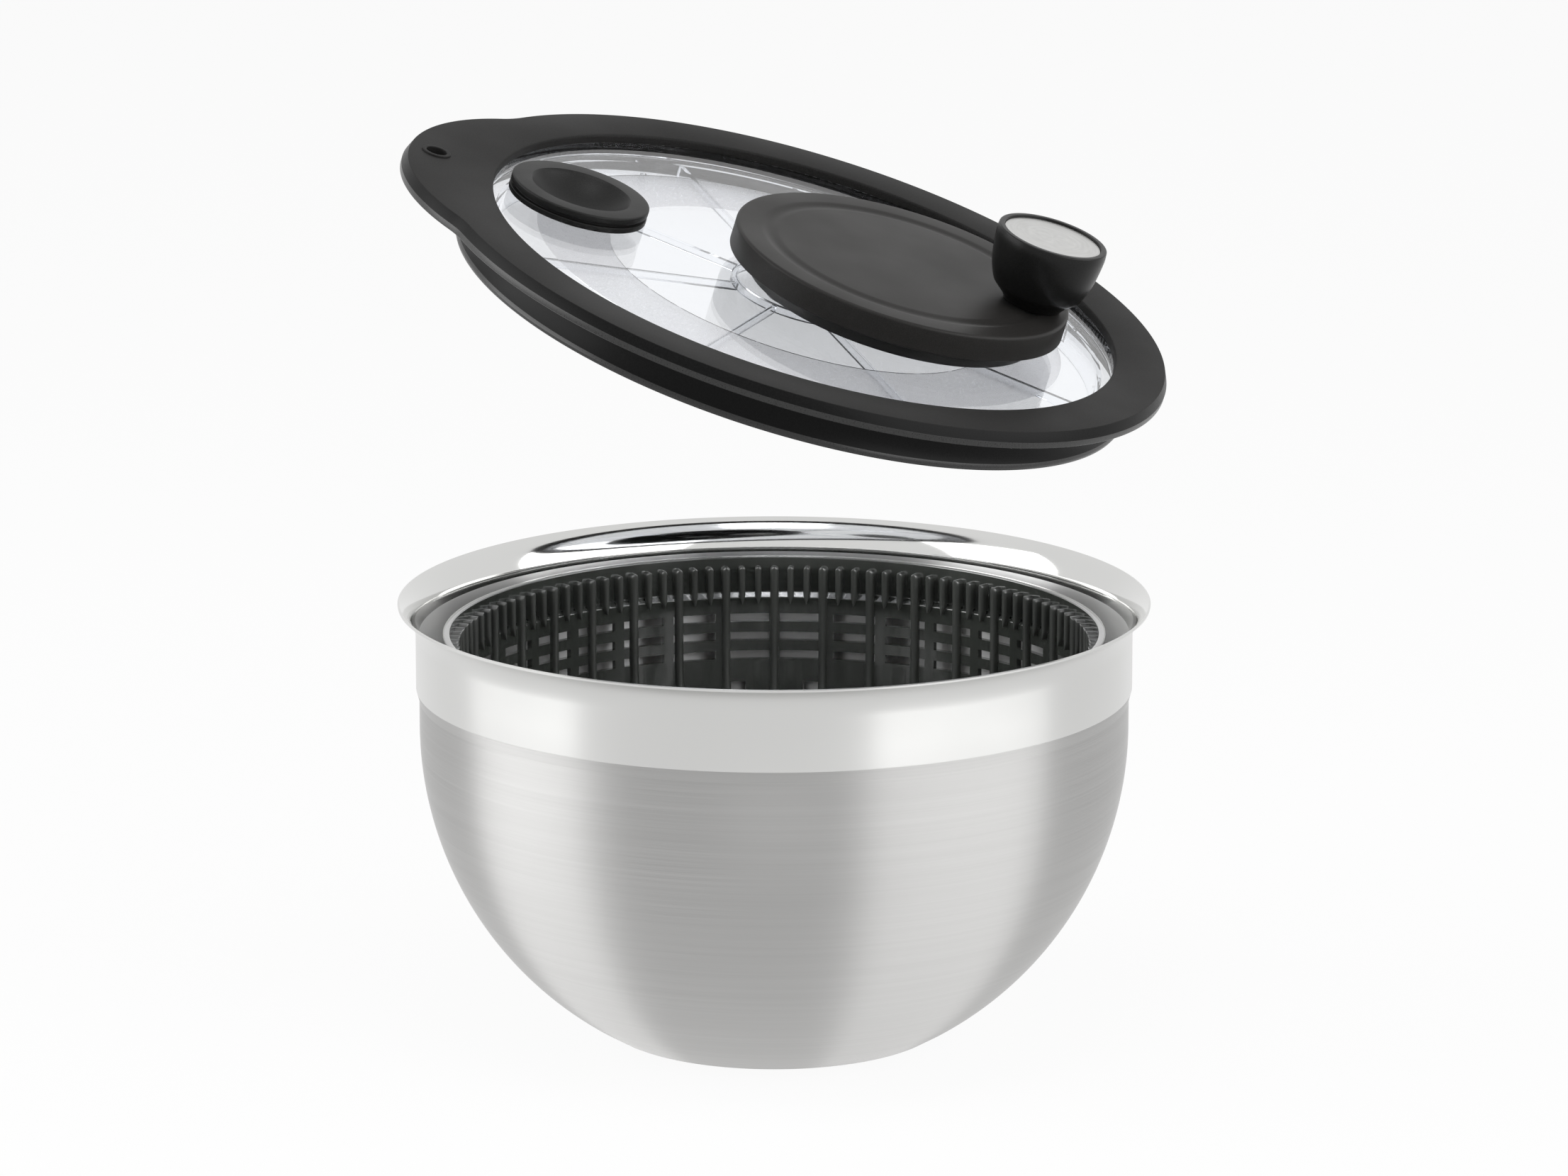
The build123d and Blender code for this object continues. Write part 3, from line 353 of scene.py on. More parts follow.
def sector_mesh(angles, rows, is_open):
    """Slice of a thin shell.

    angles(row) gives its columns, rows its outer and inner points, and is_open(row, column) its holes.
    """
    verts = []
    for row, (outer, inner) in enumerate(rows):
        for radius, height in (outer, inner):
            for angle in angles(row):
                verts.append((radius * cos(angle), radius * sin(angle), height))
    columns = len(angles(0))

    def corner(row, side, column):
        return (2 * row + side) * columns + column

    faces = []
    for row in range(len(rows) - 1):
        for column in range(columns - 1):
            if is_open(row, column):
                continue
            for side in (0, 1):
                faces.append(
                    [
                        corner(row, side, column),
                        corner(row, side, column + 1),
                        corner(row + 1, side, column + 1),
                        corner(row + 1, side, column),
                    ]
                )
            for other, (row_a, column_a), (row_b, column_b) in (
                ((row, column - 1), (row, column), (row + 1, column)),
                ((row, column + 1), (row, column + 1), (row + 1, column + 1)),
                ((row - 1, column), (row, column), (row, column + 1)),
                ((row + 1, column), (row + 1, column), (row + 1, column + 1)),
            ):
                inside = 0 <= other[0] < len(rows) - 1 and 0 <= other[1] < columns - 1
                if inside and is_open(*other):
                    faces.append(
                        [
                            corner(row_a, 0, column_a),
                            corner(row_b, 0, column_b),
                            corner(row_b, 1, column_b),
                            corner(row_a, 1, column_a),
                        ]
                    )
    return new_mesh("sector", verts, faces)


def swept(stations):
    """Closed mesh through stations, each a loop with the same number of points."""
    verts = [point for loop in stations for point in loop]
    size = len(stations[0])
    faces = [
        [s * size + k, s * size + (k + 1) % size, (s + 1) * size + (k + 1) % size, (s + 1) * size + k]
        for s in range(len(stations) - 1)
        for k in range(size)
    ]
    faces.append(list(range(size)))
    faces.append([(len(stations) - 1) * size + k for k in range(size)])
    return new_mesh("swept", verts, faces)


# ---------------------------------------------------------------- copies round an axis
def round_pattern():
    """Node tree that sets copies of its input evenly round Z."""
    tree = bpy.data.node_groups.new("copies_round_axis", "GeometryNodeTree")
    face = tree.interface
    face.new_socket("Unit", in_out="INPUT", socket_type="NodeSocketGeometry")
    face.new_socket("Count", in_out="INPUT", socket_type="NodeSocketInt")
    face.new_socket("Start", in_out="INPUT", socket_type="NodeSocketFloat")
    face.new_socket("Finish", in_out="INPUT", socket_type="NodeSocketMaterial")
    face.new_socket("Copies", in_out="OUTPUT", socket_type="NodeSocketGeometry")
    nodes, links = tree.nodes, tree.links
    given = nodes.new("NodeGroupInput")
    result = nodes.new("NodeGroupOutput")
    points = nodes.new("GeometryNodePoints")
    links.new(given.outputs["Count"], points.inputs["Count"])
    copies = nodes.new("GeometryNodeInstanceOnPoints")
    links.new(points.outputs["Points"], copies.inputs["Points"])
    links.new(given.outputs["Unit"], copies.inputs["Instance"])
    index = nodes.new("GeometryNodeInputIndex")
    pitch = nodes.new("ShaderNodeMath")
    pitch.operation = "DIVIDE"
    pitch.inputs[0].default_value = 2 * pi
    links.new(given.outputs["Count"], pitch.inputs[1])
    angle = nodes.new("ShaderNodeMath")
    angle.operation = "MULTIPLY_ADD"
    links.new(index.outputs["Index"], angle.inputs[0])
    links.new(pitch.outputs[0], angle.inputs[1])
    links.new(given.outputs["Start"], angle.inputs[2])
    turn = nodes.new("ShaderNodeCombineXYZ")
    links.new(angle.outputs[0], turn.inputs["Z"])
    links.new(turn.outputs[0], copies.inputs["Rotation"])
    real = nodes.new("GeometryNodeRealizeInstances")
    links.new(copies.outputs["Instances"], real.inputs["Geometry"])
    coat = nodes.new("GeometryNodeSetMaterial")
    links.new(real.outputs["Geometry"], coat.inputs["Geometry"])
    links.new(given.outputs["Finish"], coat.inputs["Material"])
    links.new(coat.outputs["Geometry"], result.inputs["Copies"])
    return tree


ROUND_PATTERN = round_pattern()


def copies_round(unit, count, start, finish):
    """Plain mesh of count copies of a unit mesh round Z, from a start angle in degrees."""
    holder = new_object("unit", unit)
    pattern = holder.modifiers.new("pattern", "NODES")
    pattern.node_group = ROUND_PATTERN
    inputs = [item for item in ROUND_PATTERN.interface.items_tree if item.in_out == "INPUT"]
    sockets = {item.name: item.identifier for item in inputs}
    pattern[sockets["Count"]] = count
    pattern[sockets["Start"]] = radians(start)
    pattern[sockets["Finish"]] = finish
    holder.update_tag()
    depsgraph = bpy.context.evaluated_depsgraph_get()
    mesh = bpy.data.meshes.new_from_object(holder.evaluated_get(depsgraph))
    holder.modifiers.remove(pattern)
    bpy.data.objects.remove(holder)
    return mesh


# ---------------------------------------------------------------- finishes
PATTERN_LOW, PATTERN_HIGH = 0.3, 0.7  # middle values of a noise pattern, which finishes are spread over


class Finish:
    """A material with one Principled shader and short ways to build the nodes in front of it."""

    def __init__(self, name, **settings):
        self.material = bpy.data.materials.new(name)
        self.material.use_nodes = True
        self.tree = self.material.node_tree
        self.shader = self.tree.nodes["Principled BSDF"]
        for socket, value in settings.items():
            self.shader.inputs[socket.replace("_", " ")].default_value = value
        self.bumps = []

    def add(self, kind, **settings):
        node = self.tree.nodes.new(kind)
        for key, value in settings.items():
            if key in node.inputs:
                node.inputs[key].default_value = value
            else:
                setattr(node, key, value)
        return node

    def link(self, source, target):
        self.tree.links.new(source, target)

    def place(self, scale=(1, 1, 1), turn=None):
        """Object coordinates through a Mapping node, in the piece's own axes."""
        where = self.add("ShaderNodeTexCoord")
        mapping = self.add("ShaderNodeMapping")
        self.link(where.outputs["Object"], mapping.inputs["Vector"])
        if turn is not None:
            own_axes = turn.inverted()
            mapping.inputs["Rotation"].default_value = own_axes.to_euler("XYZ")
            mapping.inputs["Location"].default_value = own_axes.to_translation()
            resized = self.add("ShaderNodeMapping")
            self.link(mapping.outputs[0], resized.inputs["Vector"])
            mapping = resized
        mapping.inputs["Scale"].default_value = scale
        return mapping.outputs[0]

    def noise(self, scale, detail=2.0, at=None):
        texture = self.add("ShaderNodeTexNoise", Scale=scale, Detail=detail)
        self.link(at if at is not None else self.place(), texture.inputs["Vector"])
        return texture.outputs["Fac"]

    def spread(self, value, low, high):
        """Spreads a pattern's middle values over a range."""
        ranged = self.add("ShaderNodeMapRange")
        ranged.inputs["From Min"].default_value = PATTERN_LOW
        ranged.inputs["From Max"].default_value = PATTERN_HIGH
        ranged.inputs["To Min"].default_value = low
        ranged.inputs["To Max"].default_value = high
        self.link(value, ranged.inputs["Value"])
        return ranged.outputs["Result"]

    def tint(self, value, dark, light):
        """Colour that runs from dark to light with a pattern."""
        ramp = self.add("ShaderNodeValToRGB")
        ramp.color_ramp.elements[0].position = PATTERN_LOW
        ramp.color_ramp.elements[0].color = (*dark, 1)
        ramp.color_ramp.elements[1].position = PATTERN_HIGH
        ramp.color_ramp.elements[1].color = (*light, 1)
        self.link(value, ramp.inputs["Fac"])
        self.link(ramp.outputs["Color"], self.shader.inputs["Base Color"])

    def rough(self, value, low, high):
        self.link(self.spread(value, low, high), self.shader.inputs["Roughness"])

    def bump(self, value, height, strength=0.5):
        bump = self.add("ShaderNodeBump", Strength=strength, Distance=height)
        self.link(value, bump.inputs["Height"])
        if self.bumps:
            self.link(self.bumps[-1].outputs["Normal"], bump.inputs["Normal"])
        self.bumps.append(bump)
        self.link(bump.outputs["Normal"], self.shader.inputs["Normal"])

    def brushed_round(self, amount):
        """Stretches the highlights across lines that were brushed round the piece's axis."""
        tangent = self.add("ShaderNodeTangent", direction_type="RADIAL")
        tangent.axis = "Z"
        self.link(tangent.outputs["Tangent"], self.shader.inputs["Tangent"])
        self.shader.inputs["Anisotropic"].default_value = amount
        self.shader.inputs["Anisotropic Rotation"].default_value = 0.25


def brushed_steel():
    finish = Finish("brushed_steel", Metallic=1.0)
    lines = finish.noise(1.0, 3.0, finish.place(scale=(10, 10, 5200)))
    wide = finish.noise(1.0, 2.0, finish.place(scale=(4, 4, 900)))
    finish.tint(wide, (0.545, 0.542, 0.535), (0.565, 0.562, 0.555))
    finish.rough(lines, 0.48, 0.56)
    finish.bump(lines, 0.00001, 0.3)
    finish.brushed_round(1.0)
    return finish.material


def drawn_steel(name, dark, light, low, high, brushed=0.0):
    """Smooth steel with the faint waves of a drawn sheet."""
    finish = Finish(name, Metallic=1.0)
    haze = finish.noise(9.0, 3.0)
    finish.tint(haze, dark, light)
    finish.rough(haze, low, high)
    finish.bump(finish.noise(22.0, 1.0), 0.0002, 0.06)
    if brushed:
        finish.brushed_round(brushed)
    return finish.material


def inner_steel():
    finish = Finish("inner_steel", Metallic=1.0)
    haze = finish.noise(1.0, 3.0, finish.place(scale=(7, 7, 60)))
    finish.tint(haze, (0.74, 0.74, 0.735), (0.79, 0.79, 0.785))
    finish.rough(haze, 0.36, 0.44)
    finish.bump(finish.noise(14.0, 1.0), 0.0003, 0.06)
    finish.brushed_round(1.0)
    return finish.material


def insert_steel():
    finish = Finish("insert_steel", Metallic=1.0)
    knob_axes = on_lid(KNOB_AT)
    where = finish.place(turn=knob_axes)
    parts = finish.add("ShaderNodeSeparateXYZ")
    finish.link(where, parts.inputs[0])
    angle = finish.add("ShaderNodeMath", operation="ARCTAN2")
    finish.link(parts.outputs["Y"], angle.inputs[0])
    finish.link(parts.outputs["X"], angle.inputs[1])
    reach = finish.add("ShaderNodeVectorMath", operation="LENGTH")
    finish.link(where, reach.inputs[0])
    polar = finish.add("ShaderNodeCombineXYZ")
    finish.link(angle.outputs[0], polar.inputs["X"])
    scaled = finish.add("ShaderNodeMath", operation="MULTIPLY")
    finish.link(reach.outputs["Value"], scaled.inputs[0])
    scaled.inputs[1].default_value = 1800
    finish.link(scaled.outputs[0], polar.inputs["Y"])
    rings = finish.noise(1.6, 2.0, polar.outputs[0])
    finish.tint(rings, (0.50, 0.50, 0.49), (0.60, 0.60, 0.59))
    finish.rough(rings, 0.28, 0.36)
    finish.bump(rings, 0.00001, 0.3)
    return finish.material


def smoke_plastic(name, dark, light, low, high, coat_roughness):
    """Dark plastic of the basket that lets a little light through."""
    finish = Finish(
        name,
        IOR=1.58,
        Specular_IOR_Level=0.9,
        Coat_Weight=1.0,
        Coat_Roughness=coat_roughness,
        Transmission_Weight=0.3,
    )
    mottle = finish.noise(30.0, 2.0)
    finish.tint(mottle, dark, light)
    finish.rough(mottle, low, high)
    finish.bump(finish.noise(60.0, 1.0), 0.0002, 0.05)
    return finish.material


def grained(name, grain, colours, roughness, relief, cloud=None, **settings):
    """Plain finish with one fine grain.

    grain and cloud are a noise's scale and detail, colours and roughness run from low to high, and relief
    is the height in metres and strength of the grain. The roughness follows the cloud, where there is one.
    """
    finish = Finish(name, **settings)
    pattern = finish.noise(*grain)
    finish.tint(pattern, *colours)
    finish.rough(finish.noise(*cloud) if cloud else pattern, *roughness)
    finish.bump(pattern, *relief)
    return finish.material


def clear_plastic(name, scale, colours, roughness, height=0.0001):
    relief = (height, 0.05)
    return grained(name, (scale, 2.0), colours, roughness, relief, IOR=1.3, Transmission_Weight=1.0)


BRUSHED = brushed_steel()
POLISHED = drawn_steel("polished_steel", (0.60, 0.60, 0.59), (0.64, 0.64, 0.63), 0.27, 0.32, 0.9)
INNER_STEEL = inner_steel()
MIRROR_STEEL = drawn_steel("mirror_steel", (0.62, 0.62, 0.61), (0.66, 0.66, 0.65), 0.06, 0.10)
PLAIN_STEEL = grained(
    "plain_steel",
    (900.0, 2.0),
    [(0.55, 0.55, 0.54), (0.66, 0.66, 0.65)],
    (0.25, 0.4),
    (0.00001, 0.2),
    Metallic=1.0,
)
INSERT_STEEL = insert_steel()
SMOKE = smoke_plastic("smoke_plastic", (0.055, 0.060, 0.054), (0.080, 0.087, 0.078), 0.10, 0.16, 0.07)
# Ribs: rougher than the wall, and a shade lighter in colour than the same moulding, a painted sheen for their
# highlights.
SMOKE_RIB_SHEEN = smoke_plastic("smoke_rib_painted_sheen", (0.060, 0.065, 0.059), (0.085, 0.092, 0.083), 0.34, 0.42, 0.15)
SILICONE = grained(
    "silicone_black",
    (2600.0, 2.0),
    [(0.007, 0.0068, 0.0066), (0.016, 0.0155, 0.015)],
    (0.50, 0.60),
    (0.00002, 0.4),
    cloud=(22.0, 2.0),
    IOR=1.42,
    Specular_IOR_Level=0.17,
)
# Edge band and lip of the ring: glossier, and lighter in colour than the rest of the same silicone, a painted
# sheen.
SILICONE_GLOSS_SHEEN = grained(
    "silicone_gloss_painted_sheen",
    (1800.0, 2.0),
    [(0.014, 0.014, 0.0138), (0.024, 0.024, 0.0236)],
    (0.26, 0.34),
    (0.00002, 0.15),
    IOR=1.42,
    Specular_IOR_Level=0.5,
)
# Slope and skirt of the ring: darker than the rest of the same silicone, painted shade where they face down
# and away.
SILICONE_PAINTED_SHADE = grained(
    "silicone_painted_shade",
    (1800.0, 2.0),
    [(0.003, 0.003, 0.003), (0.006, 0.006, 0.006)],
    (0.30, 0.40),
    (0.00002, 0.15),
    IOR=1.42,
    Specular_IOR_Level=0.12,
)
GRAINED = grained(
    "grained_black",
    (3200.0, 3.0),
    [(0.013, 0.0124, 0.0118), (0.024, 0.0228, 0.0216)],
    (0.40, 0.48),
    (0.00003, 0.5),
    cloud=(30.0, 2.0),
    IOR=1.48,
    Specular_IOR_Level=0.16,
)
SATIN = grained(
    "satin_black",
    (2400.0, 2.0),
    [(0.005, 0.005, 0.005), (0.010, 0.010, 0.0097)],
    (0.28, 0.36),
    (0.00001, 0.25),
    IOR=1.48,
    Specular_IOR_Level=0.2,
)
SOFT = grained(
    "soft_black",
    (2600.0, 2.0),
    [(0.006, 0.006, 0.006), (0.014, 0.014, 0.0135)],
    (0.40, 0.50),
    (0.00002, 0.3),
    cloud=(40.0, 2.0),
    IOR=1.42,
    Specular_IOR_Level=0.24,
)
WHITE = grained(
    "white_plastic",
    (300.0, 2.0),
    [(0.74, 0.74, 0.72), (0.80, 0.80, 0.78)],
    (0.35, 0.45),
    (0.00002, 0.1),
    IOR=1.46,
)
CLEAR = clear_plastic("clear_plastic", 12.0, [(0.97, 0.98, 0.99), (0.98, 0.985, 1.0)], (0.0, 0.02))
DRIVER_CLEAR = clear_plastic("driver_clear", 16.0, [(0.955, 0.97, 0.99), (0.97, 0.98, 1.0)], (0.01, 0.04))
FROSTED = clear_plastic(
    "driver_frosted", 1800.0, [(0.90, 0.91, 0.96), (0.93, 0.94, 0.98)], (0.26, 0.34), 0.00003
)


# ---------------------------------------------------------------- bowl
def bowl_side(inset):
    """Half outline of one side of the bowl's sheet, from the axis to the rim's edge."""
    body = BODY_R - inset
    band = BAND_R - inset
    low = round_point(body, inset)
    leg = radians(low + CORNER_LEG)
    corner = softened(
        [
            (0, inset),
            (body * cos(radians(low)), inset, BASE_CORNER),
            (body * cos(leg) + CORNER_LEAN[0], ROUND_Z + body * sin(leg) + CORNER_LEAN[1]),
        ],
        6,
    )
    outline = [(0, inset), (BASE_R * 0.7, inset)] + corner[1:-1]
    outline += arc((0, ROUND_Z), body, low + ROUND_START, 0, 40)
    outline += softened(
        [
            (body, ROUND_Z),
            (body, STEP_LOW_Z, STEP_ROUND),
            (band, STEP_TOP_Z, STEP_ROUND),
            (band, STEP_TOP_Z + 8),
        ],
        5,
    )[1:]
    rim_low = BOWL_HEIGHT - (RIM_BEND_R + SHEET) * sin(radians(RIM_TURN))
    outline += arc((BAND_R + RIM_BEND_R, rim_low), RIM_BEND_R + inset, 180, 180 - RIM_TURN, 14)
    return outline


def bowl_zone(point, after, outside):
    """Finish of a stretch of the bowl: brushed body, polished band, mirror-bright flare, satin inside."""
    if not outside:
        return 3 if min(point[1], after[1]) > BOWL_HEIGHT - FLARE_DEPTH else 2
    return 0 if min(point[1], after[1]) < POLISH_START_Z else 1


def make_bowl():
    outer = bowl_side(0)
    inner = bowl_side(SHEET)
    tip = Vector(outer[-1]).lerp(Vector(inner[-1]), 0.5)
    away = (Vector(outer[-1]) - Vector(outer[-2])).normalized()
    nose = [tuple(tip + away * 0.42)]
    outline = outer + nose + inner[::-1]
    outside = len(outer)
    zones = [
        bowl_zone(outline[i], outline[(i + 1) % len(outline)], i < outside + 1) for i in range(len(outline))
    ]
    piece = finished(
        "steel_bowl",
        turned(outline, zones, 320),
        STANDING,
        "bowl",
        [BRUSHED, POLISHED, INNER_STEEL, MIRROR_STEEL],
        40.0,
    )
    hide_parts("bowl")


# ---------------------------------------------------------------- basket
def basket_piece(name, mesh, material=SMOKE, sharp=35.0):
    return finished(name, mesh, STANDING, "basket", [material], sharp)


def wall_rows(heights):
    """Outer and inner points of the basket's wall at heights of its outside."""
    rows = []
    for height in heights:
        if height >= ROUND_Z:
            rows.append(((BASKET_R, height), (BASKET_IN_R, height)))
        else:
            turn = radians(round_point(BASKET_R, height))
            unit = (cos(turn), sin(turn))
            rows.append(
                (
                    (BASKET_R * unit[0], ROUND_Z + BASKET_R * unit[1]),
                    (BASKET_IN_R * unit[0], ROUND_Z + BASKET_IN_R * unit[1]),
                )
            )
    return rows


def make_basket_collar():
    outline = softened(
        [
            (BASKET_R, LATTICE_TOP_Z),
            (BASKET_R, LEDGE_LOW_Z, 0.8),
            (COLLAR_R, LEDGE_Z, 0.8),
            (COLLAR_R, BEAD_LOW_Z, 0.2),
            (BEAD_R, BEAD_LOW_Z, 0.2),
            (BEAD_R, BASKET_RIM_Z, 0.7),
            (COLLAR_IN_R, BASKET_RIM_Z, 0.5),
            (COLLAR_IN_R, LEDGE_Z, 0.5),
            (BASKET_IN_R, LEDGE_LOW_Z, 0.5),
            (BASKET_IN_R, LATTICE_TOP_Z),
        ],
        3,
    )
    piece = basket_piece("basket_collar", turned(outline))
    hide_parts("basket")


def make_basket_lattice():
    """Band of windows in three rows, made as one bar's sector and set round the wall."""
    heights = [LATTICE_LOW_Z]
    for top in reversed(WINDOW_TOPS):
        heights += [top - WINDOW_HEIGHT, top]
    heights.append(LATTICE_TOP_Z)
    pitch = 2 * pi / LATTICE_BARS
    bar = BAR_WIDTH / 2 / BASKET_R
    window = [bar + (pitch - 2 * bar) * k / 5 for k in range(6)]
    angles = [0.0] + window + [pitch]
    rows = wall_rows(heights)
    window_rows = (1, 3, 5)

    def is_window(row, column):
        return row in window_rows and 0 < column < len(angles) - 2

    sector = sector_mesh(lambda row: angles, rows, is_window)
    mesh = copies_round(sector, LATTICE_BARS, 0.0, SMOKE)
    basket_piece("basket_lattice", mesh)


def make_basket_body():
    """Round lower wall with two tiers of drain slots, made as one slot's sector and set round."""
    (top_low, top_high, top_width), (low_low, low_high, low_width) = SLOT_TIERS
    steps = 5
    heights = [WALL_LOW_Z, WALL_BEND_Z, low_low]
    heights += [low_low + (low_high - low_low) * k / steps for k in range(1, steps + 1)]
    heights += [top_low + (top_high - top_low) * k / steps for k in range(steps + 1)]
    heights += [SLOT_HEAD_Z, LATTICE_LOW_Z]
    rows = wall_rows(heights)
    pitch = 2 * pi / SLOT_SECTORS
    slot_rows = (*range(2, 2 + steps), *range(3 + steps, 3 + 2 * steps))

    def angles(row):
        width = top_width if row > 2 + steps else low_width
        half = asin(width / 2 / rows[row][0][0])
        return [0, pitch / 4, pitch / 2 - half, pitch / 2 + half, pitch * 3 / 4, pitch]

    sector = sector_mesh(angles, rows, lambda row, column: column == 2 and row in slot_rows)
    mesh = copies_round(sector, SLOT_SECTORS, 0.0, SMOKE)
    basket_piece("basket_body", mesh)


def make_basket_floor():
    """Floor with radial slots, and the boss that holds the bush."""
    edge = wall_rows([WALL_LOW_Z])[0]
    slot_in, slot_out = FLOOR_SLOT_REACH
    reaches = [BOSS_R - 1, slot_in, (slot_in + slot_out) / 2, slot_out]
    rows = [((r, FLOOR_LOW_Z), (r, FLOOR_TOP_Z)) for r in reaches]
    rows.append(((edge[0][0] - 2, FLOOR_LOW_Z), (edge[1][0] - 1, FLOOR_TOP_Z)))
    rows.append(edge)
    pitch = 2 * pi / FLOOR_SLOTS

    def angles(row):
        half = asin(FLOOR_SLOT_WIDTH / 2 / rows[row][0][0])
        return [-pitch / 2, -pitch / 4, -half, half, pitch / 4, pitch / 2]

    sector = sector_mesh(angles, rows, lambda row, column: column == 2 and row in (1, 2))
    mesh = copies_round(sector, FLOOR_SLOTS, 0.0, SMOKE)
    basket_piece("basket_floor", mesh)
    boss = softened(
        [
            (BOSS_R, FLOOR_LOW_Z),
            (BOSS_R, FLOOR_TOP_Z, 0.6),
            (BOSS_TOP_R, BOSS_TOP_Z, 1.2),
            (0, BOSS_TOP_Z),
            (0, PIN_ROOM_Z),
            (PIN_ROOM_R, PIN_ROOM_Z),
            (PIN_ROOM_R, BUSH_SEAT_Z),
            (BUSH_SEAT_R, BUSH_SEAT_Z),
            (BUSH_SEAT_R, FLOOR_LOW_Z),
        ]
    )
    basket_piece("basket_boss", turned(boss, None, 96))


def rib_loop(tip, wall, height, half):
    """Section of a rib at one height, with a rounded edge towards the basket's axis."""
    turns = (pi / 6, pi / 3, pi / 2, 2 * pi / 3, 5 * pi / 6)
    nose = [(tip + half - half * sin(a), -half * cos(a)) for a in turns]
    points = [(wall, -half), (tip + half, -half), *nose, (tip + half, half), (wall, half)]
    return [(x, y, height) for x, y in points]


def rib_wall(height):
    """Radius just inside the wall's thickness, where a rib's back ends."""
    if height > LEDGE_Z:
        return COLLAR_IN_R + RIB_BITE
    if height > ROUND_Z:
        return BASKET_IN_R + RIB_BITE
    return sqrt((BASKET_IN_R + RIB_BITE) ** 2 - (ROUND_Z - height) ** 2)


def rib_tip(height):
    """Radius of a rib's edge."""
    return RIB_TIP_R if height > ROUND_Z else sqrt(RIB_TIP_R**2 - (ROUND_Z - height) ** 2)


def rib_mesh(foot, thick):
    """Rib with a domed top and a pointed foot."""
    stations = [(RIB_TOP_Z - thick * (1 - cos(a)), max(0.12, sin(a)) * thick) for a in RIB_DOME]
    straight_low = foot + RIB_POINT
    for height in (LEDGE_Z + 0.1, LEDGE_Z - 0.1, ROUND_Z, *RIB_BENDS):
        if straight_low < height < RIB_TOP_Z - 2:
            stations.append((height, thick))
    stations.append((straight_low, thick))
    stations.append((foot + RIB_POINT / 2, thick * 0.55))
    stations.append((foot, thick * 0.08))
    return swept([rib_loop(rib_tip(z), rib_wall(z), z, half) for z, half in stations])


def make_basket_ribs():
    long_mesh = copies_round(rib_mesh(LONG_RIB_FOOT_Z, LONG_RIB_HALF), LONG_RIBS, 0.0, SMOKE_RIB_SHEEN)
    basket_piece("basket_long_ribs", long_mesh, SMOKE_RIB_SHEEN, 40.0)
    pitch = 360 / LONG_RIBS / 3
    foot = RIB_TOP_Z - SHORT_RIB_LENGTH
    for side in (1, 2):
        mesh = copies_round(rib_mesh(foot, SHORT_RIB_HALF), LONG_RIBS, pitch * side, SMOKE_RIB_SHEEN)
        basket_piece(f"basket_short_ribs_{side}", mesh, SMOKE_RIB_SHEEN, 40.0)


# ---------------------------------------------------------------- silicone ring
def ring_outline():
    """Points and outward directions round the ring's edge: its circle, two hollow blends and the tab."""
    to_ring, to_tab = LID_R + TAB_BLEND, TAB_R + TAB_BLEND
    blend_x = (to_tab**2 - to_ring**2 - TAB_AT**2) / (2 * TAB_AT)
    blend_y = sqrt(to_ring**2 - blend_x**2)
    ring_angle = atan2(blend_y, blend_x)
    tab_angle = atan2(blend_y, blend_x + TAB_AT)
    half = []
    ring_steps, blend_steps, tab_steps = 110, 16, 44
    for k in range(ring_steps):
        a = ring_angle * k / ring_steps
        half.append(((LID_R * cos(a), LID_R * sin(a)), (cos(a), sin(a))))
    start, end = ring_angle - pi, tab_angle - pi
    for k in range(blend_steps):
        a = start + (end - start) * k / blend_steps
        half.append(((blend_x + TAB_BLEND * cos(a), blend_y + TAB_BLEND * sin(a)), (-cos(a), -sin(a))))
    for k in range(tab_steps):
        a = tab_angle + (pi - tab_angle) * k / tab_steps
        half.append(((-TAB_AT + TAB_R * cos(a), TAB_R * sin(a)), (cos(a), sin(a))))
    tip = [((-TAB_AT - TAB_R, 0.0), (-1.0, 0.0))]
    mirrored = [((p[0], -p[1]), (d[0], -d[1])) for p, d in reversed(half[1:])]
    return half + tip + mirrored


def ring_stations():
    """Profile of the ring at each point of its edge: outside points follow the edge, inside ones a circle."""
    edge = softened(
        [
            (-EDGE_SLOPE_IN - 6, 0),
            (-EDGE_SLOPE_IN, 0, 0.25),
            (0, -EDGE_SLOPE_DOWN, 0.3),
            (0, -LID_EDGE, 0.5),
            (-6, -LID_EDGE),
        ],
        3,
    )[1:-1]
    skirt = [(SKIRT_R + 3.0, -LID_EDGE), (SKIRT_R + 0.8, -LID_EDGE - 0.4), (SKIRT_R, -LID_EDGE - 2.0)]
    skirt += [(SKIRT_R - 0.2, -10.0), (SKIRT_R + 0.3, -13.5), (SKIRT_LIP_R - 0.4, -16.2)]
    skirt += [(SKIRT_LIP_R, -16.9), (SKIRT_LIP_R, -17.6), (SKIRT_LIP_R - 0.4, SKIRT_LOW)]
    inside = [
        (PLATE_R + 0.5, SKIRT_LOW),
        (PLATE_R, SKIRT_LOW + 0.4),
        (PLATE_R, PLATE_TOP),
        (WINDOW_R + 0.1, PLATE_TOP),
        (WINDOW_R, PLATE_TOP + 0.1),
        (WINDOW_R, -WINDOW_ROUND),
        (WINDOW_R + 0.12, -WINDOW_ROUND * 0.5),
        (WINDOW_R + 0.35, -WINDOW_ROUND * 0.2),
        (WINDOW_R + WINDOW_ROUND, 0.0),
    ]
    stations = []
    for (x, y), (out_x, out_y) in ring_outline():
        angle = atan2(y, x)
        loop = [(x + out_x * away, y + out_y * away, height) for away, height in edge]
        loop += [(radius * cos(angle), radius * sin(angle), height) for radius, height in skirt + inside]
        stations.append(loop)
    return stations


def hole_cutter(radius, heights, at=(0.0, 0.0), steps=48):
    """Plain round cutter between two heights."""
    return swept([circle(radius, height, steps, at) for height in heights])


